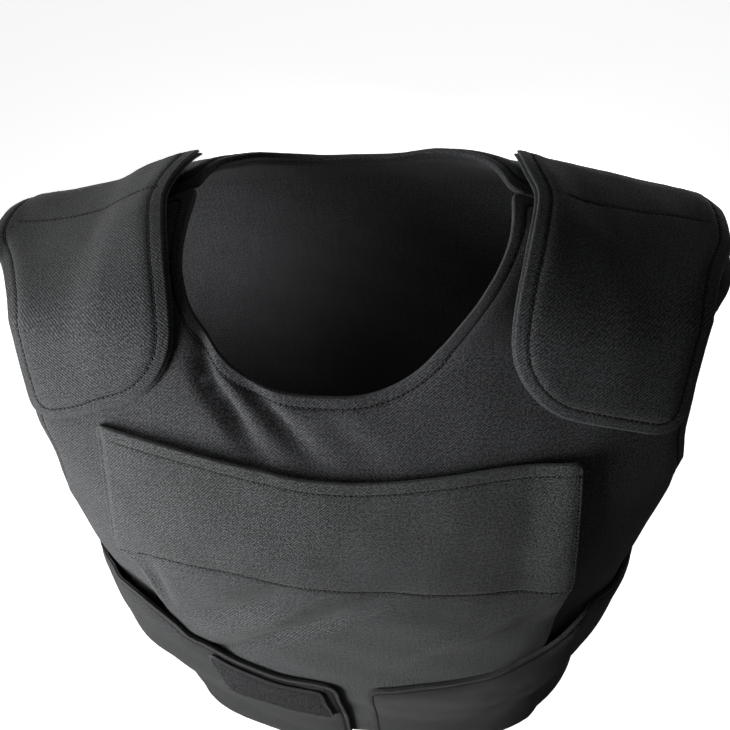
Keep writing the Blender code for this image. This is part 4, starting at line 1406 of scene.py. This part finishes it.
def flap_outline(side):
    """Sides from the table and two rounded front corners, big inside and small outside."""
    table = FLAP_SIDES_LEFT if side == LEFT else FLAP_SIDES_RIGHT
    table = table[::-1]
    si = np.linspace(-FLAP_FRONT + FLAP_INNER_CORNER, FLAP_BACK, 50)
    so = np.linspace(-FLAP_FRONT + FLAP_OUTER_CORNER, FLAP_BACK, 50)
    inner_edge = np.stack([read(table, si, 1), si], 1)
    outer_edge = np.stack([read(table, so, 2), so], 1)
    turn = np.linspace(0, np.pi / 2, 16)[1:-1]
    ri, ro = FLAP_INNER_CORNER, FLAP_OUTER_CORNER
    cos, sin = np.cos(turn), np.sin(turn)
    big = np.stack([inner_edge[0, 0] + ri * (1 - cos), -FLAP_FRONT + ri * (1 - sin)], 1)
    small = np.stack([outer_edge[0, 0] - ro * (1 - cos), -FLAP_FRONT + ro * (1 - sin)], 1)
    whole = np.vstack([inner_edge[::-1], big, small[::-1], outer_edge])
    return soften(whole, FLAP_CORNER_SOFT)


def shoulder_flap(name, side, seed):
    """Height = underside + share of the thickness - thinning + swell, the share 1 outside and 0 inside."""
    border = Line(flap_outline(side))
    xs = border.drawn[:, 0]
    across = np.linspace(xs.min() + CROSS_SEAM_FROM_NECK, xs.max() - CROSS_SEAM_FROM_ARM, 40)
    bar = Line(np.stack([across, np.linspace(*CROSS_SEAM, 40)], 1), False)

    def place(flat, share, more):
        gap, _ = border(flat)
        thin = (FLAP_THICK - FLAP_EDGE_THICK) * (1 - ease(gap / FLAP_PILLOW))
        body = on_flap(flat, side)
        ridge = np.exp(-((flat[:, 1] - FLAP_ARCH_S) / FLAP_ARCH_REACH) ** 2)
        under = FLAP_GAP + FLAP_ARCH * ridge * (1 - between(flat[:, 0], FLAP_ARCH_X))
        height = under + share * FLAP_THICK + (FLAP_THIN_UNDER - share) * thin + swell(body) + more
        return raised(body, height)

    def outer(flat):
        hem = turned_hem(*border(flat), seed, FLAP_HEM)
        return place(flat, 1.0, hem + sewn_line(*bar(flat), seed + 1.0))

    def inner(flat):
        return place(flat, 0.0, 0.0)

    padded_piece(name, border, outer, inner, FLAP_HEM, FLAP_FILL, FLAP_TWILL, "flap_twill", bars=[bar],
                 edge=UNDER_LIP, spacing=FLAP_SPACING)


shoulder_flap("shoulder_flap_left", LEFT, 0.2)
shoulder_flap("shoulder_flap_right", RIGHT, 1.4)

# %% [markdown]
# The stage is one pale card, flat under the vest and curved up all round, with a faint glow of its
# own. It is kept out of the light on the cloth, because black cloth beside a bright card turns grey.
# Daylight came from the viewer's left and close by, so the left lies in light and the right in
# shade. Four soft lamps on that side do it, and two behind show the back from other sides.

# %% Stage and light
FLOOR_Z = -0.75
COVE_RADIUS, COVE_BEND, COVE_TOP = 3.5, 1.0, 4.0
CARD_WHITE, CARD_GLOW = 0.80, 0.86
WORLD_STRENGTH = 0.074
LAMPS = (
    # name, place, size, watts
    ("near_key", (-0.50, -0.45, -0.15), 0.25, 3.0),
    ("low_key", (-0.36, -0.36, -0.22), 0.20, 1.05),
    ("high_key", (-0.42, -0.50, 0.05), 0.25, 2.0),
    ("side", (-0.90, 0.00, 0.30), 0.40, 5.9),
    ("behind_left", (-0.70, 1.20, -0.45), 0.60, 6.0),
    ("behind_right", (0.60, 1.30, -0.45), 0.80, 7.0),
)
LIT_PLACE = Vector((-0.02, -0.08, -0.12))


def cove(steps=72):
    """A profile of radius and height turned about Z: flat, a quarter circle, straight up."""
    bend = np.linspace(0, np.pi / 2, 9)
    r = np.concatenate([[0.4], COVE_RADIUS - COVE_BEND * (1 - np.sin(bend)), [COVE_RADIUS]])
    z = np.concatenate([[0.0], COVE_BEND * (1 - np.cos(bend)), [COVE_TOP]]) + FLOOR_Z
    turn = np.linspace(0, 2 * np.pi, steps, endpoint=False)[:, None]
    points = np.stack([r * np.cos(turn), r * np.sin(turn), z + 0 * turn], -1).reshape(-1, 3)
    grid = np.arange(len(points)).reshape(steps, len(r))
    after = np.roll(grid, -1, axis=0)
    quads = np.stack([grid[:, :-1], grid[:, 1:], after[:, 1:], after[:, :-1]], -1).reshape(-1, 4)
    mesh = bpy.data.meshes.new("floor")
    mesh.from_pydata(points.tolist(), [], [grid[:, 0].tolist()] + quads.tolist())
    mesh.polygons.foreach_set("use_smooth", np.ones(len(mesh.polygons), bool))
    piece = bpy.data.objects.new("floor", mesh)
    bpy.context.scene.collection.objects.link(piece)
    piece.visible_diffuse = piece.visible_glossy = piece.visible_shadow = False
    f = Finish("pale_card", roughness=0.9, specular=0.1)
    f.shader.inputs["Base Color"].default_value = colour((CARD_WHITE,) * 3)
    f.shader.inputs["Emission Color"].default_value = colour((1.0,) * 3)
    f.shader.inputs["Emission Strength"].default_value = CARD_GLOW
    mesh.materials.append(f.material)


def soft_light(name, at, size, watts):
    """A square lamp at a place, turned towards the chest and itself out of the picture."""
    lamp = bpy.data.lights.new(name, "AREA")
    lamp.size, lamp.energy = size, watts
    holder = bpy.data.objects.new(name, lamp)
    holder.location = at
    holder.rotation_euler = (Vector(at) - LIT_PLACE).to_track_quat("Z", "Y").to_euler()
    holder.visible_camera = False
    bpy.context.scene.collection.objects.link(holder)


cove()
for lamp_row in LAMPS:
    soft_light(*lamp_row)
world = bpy.data.worlds.new("studio")
world.use_nodes = True
world.node_tree.nodes["Background"].inputs[0].default_value = (1.0, 1.0, 1.0, 1.0)
world.node_tree.nodes["Background"].inputs[1].default_value = WORLD_STRENGTH
bpy.context.scene.world = world
bpy.context.scene.view_settings.view_transform = "Standard"
print("lights", [row[0] for row in LAMPS])

# %% [markdown]
# The picture was taken from just above and in front, close enough for strong perspective. The
# camera was found by fitting the neckline, the pocket's corners and the flap edges, so a place on
# the vest falls on its own place in the picture.

# %% Camera
CAMERA_AT = (0.0700871, -0.4378439, 0.3444305)
AZIMUTH, ELEVATION, ROLL = np.radians([8.69557, 45.29710, -4.70421])
FOCAL_PIXELS, PICTURE_PIXELS, SENSOR_MM = 940.2936, 730, 36.0


def camera():
    """Axes: back = (sin a cos e, -cos a cos e, sin e); right and up are turned about it by the roll."""
    a, e, r = AZIMUTH, ELEVATION, ROLL
    back = np.array([np.sin(a) * np.cos(e), -np.cos(a) * np.cos(e), np.sin(e)])
    right = np.array([np.cos(a), np.sin(a), 0.0])
    up = np.cross(back, right)
    right, up = np.cos(r) * right + np.sin(r) * up, np.cos(r) * up - np.sin(r) * right
    lens = bpy.data.cameras.new("camera")
    lens.sensor_width, lens.lens = SENSOR_MM, SENSOR_MM * FOCAL_PIXELS / PICTURE_PIXELS
    lens.clip_start = 0.01
    holder = bpy.data.objects.new("camera", lens)
    turned = np.stack([right, up, back, CAMERA_AT], 1)
    holder.matrix_world = Matrix([*turned.tolist(), [0, 0, 0, 1]])
    bpy.context.scene.collection.objects.link(holder)
    bpy.context.scene.camera = holder


camera()
